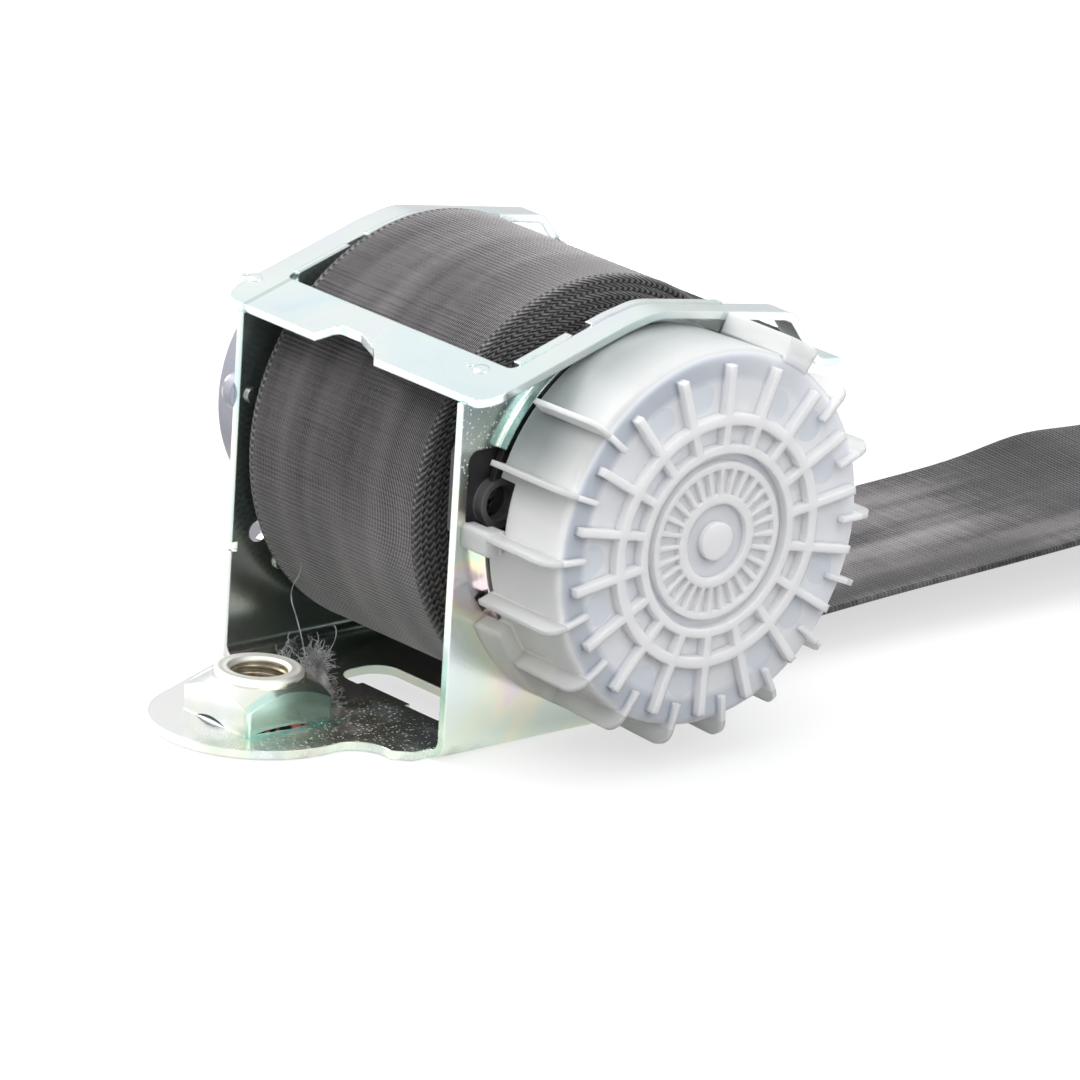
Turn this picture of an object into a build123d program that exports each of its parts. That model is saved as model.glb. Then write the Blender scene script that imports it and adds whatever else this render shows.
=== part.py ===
from build123d import *
import math
import os

# A seat belt retractor lying on its back plate, with its belt running out behind.
# X runs along the spool, Y along the belt as it leaves, Z up.
# The origin is the axis of the anchor nut, on the underside of the back plate.

os.makedirs("parts", exist_ok=True)

# Frame
sheet = 1.6
gap_width = 59.0
frame_mid = 1.5
front_y = 15.0
plate_length = 59.0
front_height = 64.4
bend_radius = 2.0

# Spool and webbing
axis_y = 52.6
axis_z = 41.0
webbing_width = 47.0
webbing_thickness = 1.2
roll_shift = -2.5
roll_radius = 37.9
core_radius = 14.0
shaft_radius = 4.0

# Tie plate
tie_sheet = 1.5
tie_slope = 0.31
tie_width = 73.0
crossbar_depth = 10.4
crown_y = 53.0
crown_z = 77.0
rear_bar_y = 88.0

# Clearances
loose = 0.3
running = 0.06

inner_right = frame_mid + gap_width / 2
outer_right = inner_right + sheet
inner_left = frame_mid - gap_width / 2
outer_left = inner_left - sheet
roll_mid = frame_mid + roll_shift
roll_right = roll_mid + webbing_width / 2
roll_left = roll_mid - webbing_width / 2


def at_axis(x):
    """A plane square to the spool, with its origin on the spool's axis."""
    return Plane(origin=(x, axis_y, axis_z), x_dir=(0, 1, 0), z_dir=(1, 0, 0))


def polar(radius, degrees):
    """A point by its radius and its angle about the spool."""
    angle = math.radians(degrees)
    return radius * math.cos(angle), radius * math.sin(angle)


def save(piece, label):
    """Names a finished piece and writes its file."""
    piece.part.label = label
    export_step(piece.part, f"parts/{label}.step")


def outline(*points):
    """A flat shape with straight sides."""
    with BuildSketch() as shape:
        with BuildLine():
            Polyline(*points, close=True)
        make_face()
    return shape.sketch_local


def band(inner, outer, start, end):
    """A flat piece of a ring, from one angle to another."""
    middle = (start + end) / 2
    with BuildSketch() as shape:
        with BuildLine():
            ThreePointArc(polar(outer, start), polar(outer, middle), polar(outer, end))
            Line(polar(outer, end), polar(inner, end))
            ThreePointArc(polar(inner, end), polar(inner, middle), polar(inner, start))
            Line(polar(inner, start), polar(outer, start))
        make_face()
    return shape.sketch_local


lengthwise = Plane(origin=(0, axis_y, axis_z), x_dir=(1, 0, 0), z_dir=(0, -1, 0))
spool_axis = Axis((0, axis_y, axis_z), (1, 0, 0))

# Top line of the tie plate, seen from the side: a ramp from the front, a crown over
# the roll, a long fall, and a rear edge bent down and flared into a smooth lip.
top_front_z = front_height + tie_sheet
crown_lead = 7.0
ramp_end_y = crown_y - crown_lead
ramp_end_z = top_front_z + tie_slope * (ramp_end_y - front_y)
fall_z = 72.2
bend_down_y = 84.0
lip_y = 91.0
lip_z = 62.7
lip_reach = 4.4
lip_drop = 0.4
tie_line = [
    (front_y, top_front_z),
    (ramp_end_y, ramp_end_z),
    (crown_y, crown_z),
    (bend_down_y, fall_z),
    (lip_y, lip_z),
    (lip_y + lip_reach, lip_z - lip_drop),
]
tie_radii = [9.0, 14.0, 3.2, 2.6]
tie_lead = 3.0


def below_tie(lift):
    """The area under the tie plate's top line, with that line moved along its normal."""
    start_point = (front_y - tie_lead, top_front_z - tie_slope * tie_lead)
    with BuildSketch(Plane.YZ) as area:
        with BuildLine() as edge:
            FilletPolyline(start_point, *tie_line[1:], radius=tie_radii)
            if lift:
                offset(amount=abs(lift), side=Side.LEFT if lift > 0 else Side.RIGHT,
                       closed=False, mode=Mode.REPLACE)
            start = edge.wire() @ 0
            end = edge.wire() @ 1
            Polyline((end.X, end.Y), (end.X, -front_height), (start.X, -front_height),
                     (start.X, start.Y))
        make_face()
    return area.sketch_local


# Back plate and side plates: one stamping, bent up at both sides
tongue_radius = 18.8
flare_y = 8.6
flare_step = 2.8
flare_slope = 2.6
left_flare = (-17.2, -7.6)
left_flare_rise = 2.5
tongue_overlap = 2.0
flare_start = math.sqrt(tongue_radius ** 2 - flare_y ** 2)
flare_end = inner_right - bend_radius - flare_slope
flare_radius = 0.62 * (flare_end - flare_start)
find_range = 0.1
window_length = 33.0
window_corner = 4.6
window_depth = 11.2
window_x = 5.6
window_y = 31.0
nib_length = 13.0
nib_shift = 3.0
nib_depth = 1.2
nut_pilot_radius = 7.0
plate_hole_radius = 31.4
collar_height = 2.2
left_bore = 19.0
tab_lift = 0.3
tab_ease = 1.6
tab_gap_y = 38.2
tab_gap = 4.2
tab_end_y = 72.0
recess_y = 17.0
recess_z = 48.1
recess_height = 15.2
recess_corner = 2.0
recess_overlap = 8.0
notch_angle = 201.5
notch_reach = 34.4
notch_width = 3.6
notch_turn = 12.0
pin_hole_y = 20.8
pin_hole_z = 23.5
pin_hole_radius = 2.0
edge_notch_z = 21.4
edge_notch_depth = 1.2
edge_notch_height = 1.8
pawl_angle = 78.0
pawl_radius = 27.0
pin_radius = 1.8
screw_turns = [222, 167, -62]
screw_circle = 35.7
screw_radius = 1.4
channel_height = 100.0
bar_end_y = front_y + crossbar_depth

plate_top = below_tie(-tie_sheet)
tab_top = below_tie(tab_lift)

with BuildSketch(Plane.YZ) as side_outline:
    add(plate_top)
    with BuildSketch(Plane.YZ, mode=Mode.PRIVATE) as tabs:
        add(tab_top)
        with BuildSketch(Plane.YZ, mode=Mode.PRIVATE) as tab_spans:
            first_start = bar_end_y + tab_ease
            first_span = tab_gap_y - first_start
            second_start = tab_gap_y + tab_gap
            second_span = tab_end_y - second_start
            with Locations((first_start + first_span / 2, front_height)):
                Rectangle(first_span, channel_height)
            with Locations((second_start + second_span / 2, front_height)):
                Rectangle(second_span, channel_height)
        add(tab_spans.sketch_local, mode=Mode.INTERSECT)
    add(tabs.sketch_local)

front_plane = Plane(origin=(0, front_y, 0), x_dir=(1, 0, 0), z_dir=(0, -1, 0))

with BuildPart() as frame:
    with BuildSketch(front_plane) as channel:
        with Locations((frame_mid, channel_height / 2)):
            Rectangle(gap_width + 2 * sheet, channel_height)
        fillet(channel.vertices().group_by(Axis.Y)[0], bend_radius + sheet)
        with Locations((frame_mid, sheet + channel_height)):
            RectangleRounded(gap_width, 2 * channel_height, bend_radius, mode=Mode.SUBTRACT)
    extrude(amount=-plate_length)
    extrude(side_outline.sketch, amount=channel_height, both=True, mode=Mode.INTERSECT)
    # anchor tongue, flared into the front corners
    with BuildSketch() as tongue:
        Circle(tongue_radius)
        with BuildLine():
            Polyline(left_flare, (inner_left + bend_radius, front_y - left_flare_rise),
                     (inner_left + bend_radius, front_y + tongue_overlap),
                     (inner_right - bend_radius, front_y + tongue_overlap),
                     (inner_right - bend_radius, flare_y + flare_step),
                     (flare_end, flare_y), (0, flare_y), close=True)
        make_face()
        near_x = tongue.vertices().filter_by_position(
            Axis.X, flare_start - find_range, flare_start + find_range)
        near = near_x.filter_by_position(Axis.Y, flare_y - find_range, flare_y + find_range)
        fillet(near, flare_radius)
    extrude(amount=sheet)
    # holes in the back plate
    with BuildSketch():
        Circle(nut_pilot_radius)
        with Locations((window_x, window_y)):
            RectangleRounded(window_length, window_depth, window_corner)
    extrude(amount=sheet, mode=Mode.SUBTRACT)
    with BuildSketch() as nib:
        with Locations((window_x - nib_shift, window_y - window_depth / 2 + nib_depth / 2)):
            Rectangle(nib_length, nib_depth)
    extrude(amount=sheet)
    # raised collar round the big hole of the right plate
    with BuildSketch(at_axis(outer_right)):
        Circle(plate_hole_radius + sheet)
    extrude(amount=collar_height)
    with BuildSketch(at_axis(inner_right)):
        Circle(plate_hole_radius)
    extrude(amount=sheet + collar_height, mode=Mode.SUBTRACT)
    # recess for the screw boss, and a small locating notch
    recess_depth = axis_y - plate_hole_radius - recess_y + recess_overlap
    with BuildSketch(Plane.YZ.offset(inner_right)):
        with Locations((recess_y + recess_depth / 2, recess_z)):
            RectangleRounded(recess_depth, recess_height, recess_corner)
    extrude(amount=sheet + collar_height, mode=Mode.SUBTRACT)
    with BuildSketch(at_axis(inner_right)):
        with Locations(Location((0, 0, 0), (0, 0, notch_angle))):
            with Locations((notch_reach - notch_width, 0)):
                Rectangle(2 * notch_width, notch_width, rotation=notch_turn)
    extrude(amount=sheet + collar_height, mode=Mode.SUBTRACT)
    # left plate: bearing hole, pawl pin hole, locating hole and edge notch
    with BuildSketch(at_axis(outer_left)):
        Circle(left_bore)
        with Locations(polar(pawl_radius, pawl_angle)):
            Circle(pin_radius)
        with Locations([polar(screw_circle, turn) for turn in screw_turns]):
            Circle(screw_radius)
    extrude(amount=sheet, mode=Mode.SUBTRACT)
    with BuildSketch(Plane.YZ.offset(outer_left)):
        with Locations((pin_hole_y, pin_hole_z)):
            Circle(pin_hole_radius)
        with Locations((front_y, edge_notch_z)):
            Rectangle(2 * edge_notch_depth, edge_notch_height)
    extrude(amount=sheet, mode=Mode.SUBTRACT)
save(frame, "frame")

# Tie plate: a ring of sheet steel that holds the side plates together
window_half = gap_width / 2 + sheet
tie_edge = frame_mid + tie_width / 2
corner = 5.0
scallop_depth = 4.4
scallop_half = 8.4
scallop_lead = 0.6
scallop_left = -6.8
scallop_mid = -1.0
scallop_right = 5.0
scallop_rise = 2.0
scallop_corner = 1.4
tie_window_corner = 1.5
with BuildSketch(Plane.YZ) as tie_section:
    with BuildLine():
        FilletPolyline(*tie_line, radius=tie_radii)
        offset(amount=tie_sheet, side=Side.RIGHT)
    make_face()

with BuildPart() as tie_plate:
    extrude(tie_section.sketch, amount=tie_width, both=True)
    with BuildSketch() as tie_outline:
        tie_length = lip_y + lip_reach + tie_lead - front_y
        with Locations((frame_mid, front_y + tie_length / 2)):
            Rectangle(tie_width, tie_length)
        fillet(tie_outline.vertices().group_by(Axis.Y)[0], corner)
        rear_span = rear_bar_y - bar_end_y
        with Locations((frame_mid, bar_end_y + rear_span / 2)):
            RectangleRounded(2 * window_half, rear_span, tie_window_corner,
                             mode=Mode.SUBTRACT)
        with BuildLine():
            scallop_start = (-scallop_half - scallop_lead, front_y - scallop_lead)
            scallop_end = (scallop_half + scallop_lead, front_y - scallop_lead)
            FilletPolyline(scallop_start, (scallop_left, front_y + scallop_depth),
                           (scallop_mid, front_y + scallop_depth),
                           (scallop_right, front_y + scallop_depth - scallop_rise),
                           scallop_end, radius=scallop_corner)
            Line(scallop_end, scallop_start)
        make_face(mode=Mode.SUBTRACT)
    extrude(amount=channel_height, mode=Mode.INTERSECT)
save(tie_plate, "tie_plate")

# Anchor nut: square, with a round collar on top and a pilot in the back plate
nut_width = 18.4
nut_height = 7.4
nut_collar_radius = 7.85
nut_top = 10.4
thread_radius = 5.05
nut_corner = 0.6
nut_cone_reach = 13.2
nut_cone_low = 4.2
nut_cone_top = 8.3
nut_mouth = 0.5
with BuildPart() as weld_nut:
    with BuildSketch(Plane.XY.offset(sheet)):
        RectangleRounded(nut_width, nut_width, nut_corner)
    extrude(amount=nut_height)
    with BuildSketch(Plane.XZ) as crown_cone:
        with BuildLine():
            Polyline((0, sheet), (nut_cone_reach, sheet),
                     (nut_cone_reach, sheet + nut_cone_low),
                     (nut_cone_top, sheet + nut_height), (0, sheet + nut_height), close=True)
        make_face()
    revolve(axis=Axis.Z, mode=Mode.INTERSECT)
    with BuildSketch(Plane.XY.offset(sheet + nut_height)):
        Circle(nut_collar_radius)
    extrude(amount=nut_top - sheet - nut_height)
    with BuildSketch():
        Circle(nut_pilot_radius)
    extrude(amount=sheet)
    with BuildSketch():
        Circle(thread_radius)
    extrude(amount=nut_top, mode=Mode.SUBTRACT)
    mouth = weld_nut.edges().filter_by(GeomType.CIRCLE).group_by(Axis.Z)[-1]
    chamfer(mouth, nut_mouth)
save(weld_nut, "weld_nut")

# Spool: core, two flanges, a wide neck through the left plate and a journal on the right
flange_thickness = 1.6
spool_gap = 0.4
flange_radius = 21.0
neck_radius = 17.5
journal_radius = 7.0
ratchet_x = outer_left - spool_gap
core_left = roll_left - loose
core_right = roll_right + loose
journal_reach = 5.0
journal_end = inner_right + journal_reach
end_pin_seat = 8.6
end_pin_radius = 2.0
end_slot = 1.4
with BuildPart() as spool:
    with BuildSketch(lengthwise):
        add(outline((ratchet_x, shaft_radius), (ratchet_x, neck_radius),
                    (core_left - flange_thickness, neck_radius),
                    (core_left - flange_thickness, flange_radius),
                    (core_left, flange_radius), (core_left, core_radius),
                    (core_right, core_radius), (core_right, flange_radius),
                    (core_right + flange_thickness, flange_radius),
                    (core_right + flange_thickness, journal_radius),
                    (journal_end, journal_radius), (journal_end, shaft_radius)))
    revolve(axis=spool_axis)
    # slot and bore that hold the inner end of the webbing
    with BuildSketch(at_axis(core_left)):
        with Locations((end_pin_seat, 0)):
            Circle(end_pin_radius)
        with Locations((core_radius, 0)):
            Rectangle(2 * (core_radius - end_pin_seat), end_slot)
    extrude(amount=core_right - core_left, mode=Mode.SUBTRACT)
save(spool, "spool")

with BuildPart() as webbing_pin:
    with BuildSketch(at_axis(core_left)):
        with Locations((end_pin_seat, 0)):
            Circle(end_pin_radius)
    extrude(amount=core_right - core_left)
save(webbing_pin, "webbing_pin")

with BuildPart() as webbing_roll:
    with BuildSketch(at_axis(roll_left)):
        Circle(roll_radius)
        Circle(core_radius, mode=Mode.SUBTRACT)
    extrude(amount=webbing_width)
save(webbing_roll, "webbing_roll")

# Right side: black spring plate, clock spring on its arbor, and the ribbed cover
spring_disc_start = inner_right + spool_gap
spring_disc = 3.0
rim_reach = 7.9
rim_fit = 0.2
spring_rim_end = outer_right + rim_reach
spring_rim_radius = plate_hole_radius - rim_fit
spring_rim_wall = 1.8
cover_start = 3.5
cover_depth = 21.3
cover_fit = 0.1
cover_base = outer_right + cover_start
cover_seat = spring_rim_radius + cover_fit
cover_floor = outer_right + cover_depth
cover_wall = 1.5
cover_side = 1.7
cover_flare = 0.6
cover_outer = cover_seat + cover_side
cover_rim = cover_outer + cover_flare
spring_clear = 1.0
bar_clear = 0.2
bar_reach = 7.5
spring_end = cover_floor - spring_clear
bar_end = spring_end - bar_clear
bar_start = outer_left - bar_reach
with BuildPart() as torsion_bar:
    with BuildSketch(at_axis(bar_start)):
        Circle(shaft_radius)
    extrude(amount=bar_end - bar_start)
save(torsion_bar, "torsion_bar")

boss_y = 24.5
boss_z = 45.4
boss_radius = 4.3
boss_bore = 3.1
boss_proud = 0.1
boss_mouth = outer_right + boss_proud
boss_length = 5.2
lug_thickness = 2.0
lug_margin = 0.8
pocket_overlap = 9.0
with BuildPart() as spring_plate:
    rim_inner = spring_rim_radius - spring_rim_wall
    disc_end = spring_disc_start + spring_disc
    with BuildSketch(lengthwise):
        add(outline((spring_disc_start, journal_radius + running),
                    (spring_disc_start, spring_rim_radius), (spring_rim_end, spring_rim_radius),
                    (spring_rim_end, rim_inner), (disc_end, rim_inner),
                    (disc_end, journal_radius + running)))
    revolve(axis=spool_axis)
    # open pocket in front of the screw boss
    pocket_depth = axis_y - spring_rim_radius + pocket_overlap - recess_y
    with BuildSketch(Plane.YZ.offset(boss_mouth)):
        with Locations((recess_y + pocket_depth / 2, recess_z)):
            RectangleRounded(pocket_depth, recess_height, recess_corner)
    extrude(amount=spring_rim_end, mode=Mode.SUBTRACT)
    with BuildSketch(Plane.YZ.offset(inner_right - loose - lug_thickness)):
        with Locations((recess_y + pocket_depth / 2, recess_z)):
            RectangleRounded(pocket_depth + 2 * lug_margin, recess_height + 2 * lug_margin,
                             recess_corner)
    extrude(amount=lug_thickness)
    with BuildSketch(Plane.YZ.offset(boss_mouth - boss_length)):
        with Locations((boss_y, boss_z)):
            Circle(boss_radius)
    extrude(amount=boss_length)
    with BuildSketch(Plane.YZ.offset(boss_mouth - boss_length)):
        with Locations((boss_y, boss_z)):
            Circle(boss_bore)
    extrude(amount=boss_length, mode=Mode.SUBTRACT)
save(spring_plate, "spring_plate")

arbor_radius = 7.4
arbor_start = journal_end
spring_gap = 0.6
spring_strip = 0.5
spring_pitch = 2.4
spring_turns = 8
spring_inner = 0.8
hook_slot = 1.2
hook_depth = 1.5
spring_start = arbor_start + spring_gap
with BuildPart() as spring_arbor:
    with BuildSketch(at_axis(arbor_start)):
        Circle(arbor_radius)
        Circle(shaft_radius, mode=Mode.SUBTRACT)
        with Locations((arbor_radius, 0)):
            Rectangle(2 * hook_depth, hook_slot, mode=Mode.SUBTRACT)
    extrude(amount=spring_end - arbor_start)
save(spring_arbor, "spring_arbor")

with BuildPart() as power_spring:
    with BuildSketch(at_axis(spring_start)):
        with BuildLine():
            radius = arbor_radius + spring_inner
            side = 1
            for half_turn in range(2 * spring_turns):
                grown = radius + spring_pitch / 2
                middle = (radius + grown) / 2
                centre = side * (radius - middle)
                ThreePointArc((side * radius, 0), (centre, side * middle), (-side * grown, 0))
                radius = grown
                side = -side
        trace(line_width=spring_strip)
    extrude(amount=spring_end - spring_start)
save(power_spring, "power_spring")

rib_count = 18
rib_width = 1.5
rib_turn = 8.0
fin_turn = -2.0
fin_thickness = 1.0
fin_reach = 37.2
fin_tip_radius = 29.0
fin_root = 0.3
fin_ease = 0.6
fin_shoulder = 0.8
fin_nose = 0.9
fin_nose_radius = 3.4
fin_low = 0.4
rail_start = 30.0
bare_start = 45.0
bare_end = 130.0
rail_end = 145.0
clip_start = 54.0
clip_end = 65.0
face_height = 1.95
rim_inner = 31.2
edge_radius = 1.6
ring_edges = [(20.6, 22.6), (15.6, 17.2)]
hub_radius = 14.0
hub_height = 1.6
pocket_count = 28
pocket_inner = 8.4
pocket_outer = 12.7
pocket_span = 8.0
pocket_sink = 1.1
recess_radius = 6.6
button_radius = 3.4
button_height = 1.4
window_low = -1.5
window_high = 10.5
window_deep = 4.0
window_reach = 8.0
inner_rib_count = 6
inner_rib_depth = 1.2
inner_rib_start = 28.0
inner_rib_span = 4.0
foot_reach = 36.6
foot_gap = 0.2
foot_corner = 0.8
foot_shoulder = 3.4
feet = [(207, 243), (46, 56), (176.5, 183.5), (-78, -58)]
face_x = cover_floor + cover_wall
with BuildPart() as spring_cover:
    with BuildSketch(lengthwise):
        add(outline((cover_base, cover_seat), (cover_base, cover_outer), (face_x, cover_rim),
                    (face_x, 0), (cover_floor, 0), (cover_floor, cover_seat)))
    revolve(axis=spool_axis)
    face_edge = spring_cover.edges().filter_by(GeomType.CIRCLE).group_by(Axis.X)[-1]
    fillet(face_edge, edge_radius)
    # cut-out beside the screw boss
    with BuildSketch(Plane.YZ.offset(cover_base)):
        with Locations((axis_y - cover_outer, axis_z + (window_low + window_high) / 2)):
            Rectangle(2 * window_reach, window_high - window_low)
    extrude(amount=window_deep, mode=Mode.SUBTRACT)
    # inner ribs that seat on the rim of the spring plate
    with BuildSketch(at_axis(spring_rim_end)):
        for step in range(inner_rib_count):
            turn = 360 / inner_rib_count * step + inner_rib_start
            add(band(cover_seat - inner_rib_depth, cover_seat + foot_gap, turn,
                     turn + inner_rib_span))
    extrude(amount=cover_floor - spring_rim_end)
    # feet that stand on the side plate, outside the collar
    for start, end in feet:
        with BuildSketch(at_axis(outer_right)) as foot:
            add(band(plate_hole_radius + sheet + foot_gap, foot_reach, start, end))
            fillet(foot.vertices(), foot_corner)
        extrude(amount=cover_base - outer_right)
        with BuildSketch(at_axis(cover_base)) as shoulder:
            add(band(cover_seat + fin_ease, foot_reach, start, end))
            fillet(shoulder.vertices(), foot_corner)
        extrude(amount=foot_shoulder)
    # fins along the wall, each sweeping over the rim to a point on the face
    for step in range(rib_count):
        turn = 360 / rib_count * step + fin_turn
        if bare_start < turn < bare_end:
            continue
        under_rail = rail_start < turn < rail_end
        fin_start = tie_edge + fin_ease if under_rail else cover_base
        angle = math.radians(turn)
        fin_plane = Plane(origin=(0, axis_y, axis_z), x_dir=(1, 0, 0),
                          z_dir=(0, -math.sin(angle), math.cos(angle)))
        with BuildSketch(fin_plane) as fin:
            add(outline((fin_start, cover_outer - fin_root), (fin_start, fin_reach - fin_shoulder),
                        (face_x + fin_nose, fin_reach),
                        (face_x + face_height - fin_low, fin_tip_radius),
                        (face_x - fin_low, fin_tip_radius),
                        (face_x - edge_radius, cover_outer - fin_root)))
            fillet(fin.vertices().sort_by(Axis.Y)[-1], fin_nose_radius)
        extrude(amount=fin_thickness / 2, both=True)
    # boxed clip beside the end of the tie plate
    with BuildSketch(at_axis(tie_edge + fin_ease)):
        add(band(cover_outer - fin_root, fin_reach, clip_start, clip_end))
    extrude(amount=face_x - tie_edge - fin_ease)
    # rings and radial ribs on the face
    with BuildSketch(at_axis(face_x)):
        for inner, outer in ring_edges:
            add(band(inner, outer, 0, 180))
            add(band(inner, outer, 180, 360))
        with PolarLocations((ring_edges[1][1] + rim_inner) / 2, rib_count, rib_turn):
            Rectangle(rim_inner + fin_root - ring_edges[1][1], rib_width)
    extrude(amount=face_height)
    # raised hub with fine ribs, a sunk centre and a button
    with BuildSketch(at_axis(face_x)):
        Circle(hub_radius)
    extrude(amount=hub_height)
    with BuildSketch(at_axis(face_x + hub_height)):
        Circle(recess_radius)
        for step in range(pocket_count):
            turn = 360 / pocket_count * step
            add(band(pocket_inner, pocket_outer, turn, turn + pocket_span))
    extrude(amount=-pocket_sink, mode=Mode.SUBTRACT)
    with BuildSketch(at_axis(face_x + hub_height - pocket_sink)):
        Circle(button_radius)
    extrude(amount=button_height)
save(spring_cover, "spring_cover")

# Left side: bearing, locking teeth and pawl, and the sensors that throw the pawl in
bushing_flange = 0.6
bushing_reach = 1.4
with BuildPart() as bushing_left:
    flange_inner = inner_left + bushing_flange
    flange_reach = left_bore + bushing_reach
    with BuildSketch(lengthwise):
        add(outline((outer_left, neck_radius + running), (outer_left, left_bore),
                    (inner_left, left_bore), (inner_left, flange_reach),
                    (flange_inner, flange_reach), (flange_inner, neck_radius + running)))
    revolve(axis=spool_axis)
save(bushing_left, "bushing_left")

tooth_count = 20
tooth_tip = 21.5
tooth_root = 18.6
tooth_face = 42.5
tooth_pitch = 360 / tooth_count
root_span = 5.0
tip_span = 1.0
ratchet_thickness = 2.6
ratchet_end = ratchet_x - ratchet_thickness
with BuildPart() as ratchet_wheel:
    with BuildSketch(at_axis(ratchet_end)):
        points = []
        for step in range(tooth_count):
            face = tooth_face + tooth_pitch * step
            points.append(polar(tooth_root, face))
            points.append(polar(tooth_root, face + root_span))
            points.append(polar(tooth_tip, face + tooth_pitch - tip_span))
            points.append(polar(tooth_tip, face + tooth_pitch))
        add(outline(*points))
        Circle(shaft_radius, mode=Mode.SUBTRACT)
    extrude(amount=ratchet_thickness)
save(ratchet_wheel, "ratchet_wheel")

# the pawl is drawn where it locks, then turned back out of the teeth
pawl_swing = 12.0
pawl_hub = 3.2
pawl_shape = [(19.4, 44.2), (19.4, 47.4), (22.3, 53.0), (22.7, 64.0), (24.2, 74.0),
              (29.9, 75.0), (28.0, 66.0), (24.6, 53.0), (22.4, 44.2)]
pawl_x = outer_left - loose
pivot_y, pivot_z = polar(pawl_radius, pawl_angle)
pawl_axis = Axis((0, axis_y + pivot_y, axis_z + pivot_z), (1, 0, 0))
with BuildPart() as lock_pawl:
    with BuildSketch(at_axis(pawl_x - ratchet_thickness)):
        with Locations((pivot_y, pivot_z)):
            Circle(pawl_hub)
        corners = []
        for radius, turn in pawl_shape:
            corners.append(polar(radius, turn))
        add(outline(*corners))
        with Locations((pivot_y, pivot_z)):
            Circle(pin_radius + running, mode=Mode.SUBTRACT)
    extrude(amount=ratchet_thickness)
lock_pawl.part = lock_pawl.part.rotate(pawl_axis, pawl_swing)
save(lock_pawl, "lock_pawl")

pin_head = pawl_x - ratchet_thickness - loose
pin_head_height = 1.0
pin_head_radius = 3.0
rivet_radius = 2.6
rivet_height = 0.5
with BuildPart() as pawl_pin:
    for x, radius, length in [(pin_head, pin_radius, inner_left - pin_head),
                              (pin_head - pin_head_height, pin_head_radius, pin_head_height),
                              (inner_left, rivet_radius, rivet_height)]:
        with BuildSketch(at_axis(x)):
            with Locations((pivot_y, pivot_z)):
                Circle(radius)
        extrude(amount=length)
save(pawl_pin, "pawl_pin")

control_gap = 0.5
control_x = ratchet_end - control_gap
control_thickness = 3.4
control_end = control_x - control_thickness
control_teeth = 36
control_tip = 19.0
control_root = 17.6
sensor_gap_turn = -123.5
root_half = 2.2
tip_start = 3.6
tip_end = 6.4
stud_radius = 1.4
stud_seat = 11.75
stud_proud = 0.4
inertia_gap = 0.2
inertia_inner = 8.5
inertia_outer = 15.0
inertia_start = 100.0
inertia_end = 260.0
lever_thickness = 1.8
with BuildPart() as control_disc:
    with BuildSketch(at_axis(control_end)):
        points = []
        for step in range(control_teeth):
            gap = sensor_gap_turn + 360 / control_teeth * step
            points.append(polar(control_root, gap - root_half))
            points.append(polar(control_root, gap + root_half))
            points.append(polar(control_tip, gap + tip_start))
            points.append(polar(control_tip, gap + tip_end))
        add(outline(*points))
        Circle(shaft_radius, mode=Mode.SUBTRACT)
    extrude(amount=control_thickness)
    with BuildSketch(at_axis(control_end)):
        with Locations((-stud_seat, 0)):
            Circle(stud_radius)
    extrude(amount=-lever_thickness - stud_proud)
save(control_disc, "control_disc")

with BuildPart() as inertia_lever:
    with BuildSketch(at_axis(control_end - inertia_gap - lever_thickness)):
        add(band(inertia_inner, inertia_outer, inertia_start, inertia_end))
        with Locations((-stud_seat, 0)):
            Circle(stud_radius + running, mode=Mode.SUBTRACT)
    extrude(amount=lever_thickness)
save(inertia_lever, "inertia_lever")

# Tilt sensor: a steel ball in a shallow cup under a lever with one tooth
ball_radius = 4.0
ball_reach = 9.4
ball_x = outer_left - ball_reach
ball_y = -12.6
ball_z = -22.7
cup_slope = 30.0
cup_ease = 0.05
cup_apex = ball_z - ball_radius / math.cos(math.radians(cup_slope)) - cup_ease
cup_drop = 2.0
cup_top = ball_z - cup_drop
cup_half = 5.4
cup_bottom = ball_z - 6.5
lever_y = -3.0
lever_z = -24.0
lever_length = 11.64
lever_angle = 144.07
lever_tooth = 1.85
lever_pin = 1.0
lever_hub = 1.8
lever_half = 0.5
ear_inner = 3.0
ear_outer = 4.6
ear_drop = 4.0
ear_fork = 2.8
ear_low = 5.0
bracket_front = -12.0
bracket_top = -25.5
bracket_bottom = -28.0
tooth_set = 3.0
tooth_width = 1.0
with BuildPart() as sensor_ball:
    with Locations((ball_x, axis_y + ball_y, axis_z + ball_z)):
        Sphere(ball_radius)
save(sensor_ball, "sensor_ball")

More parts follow.
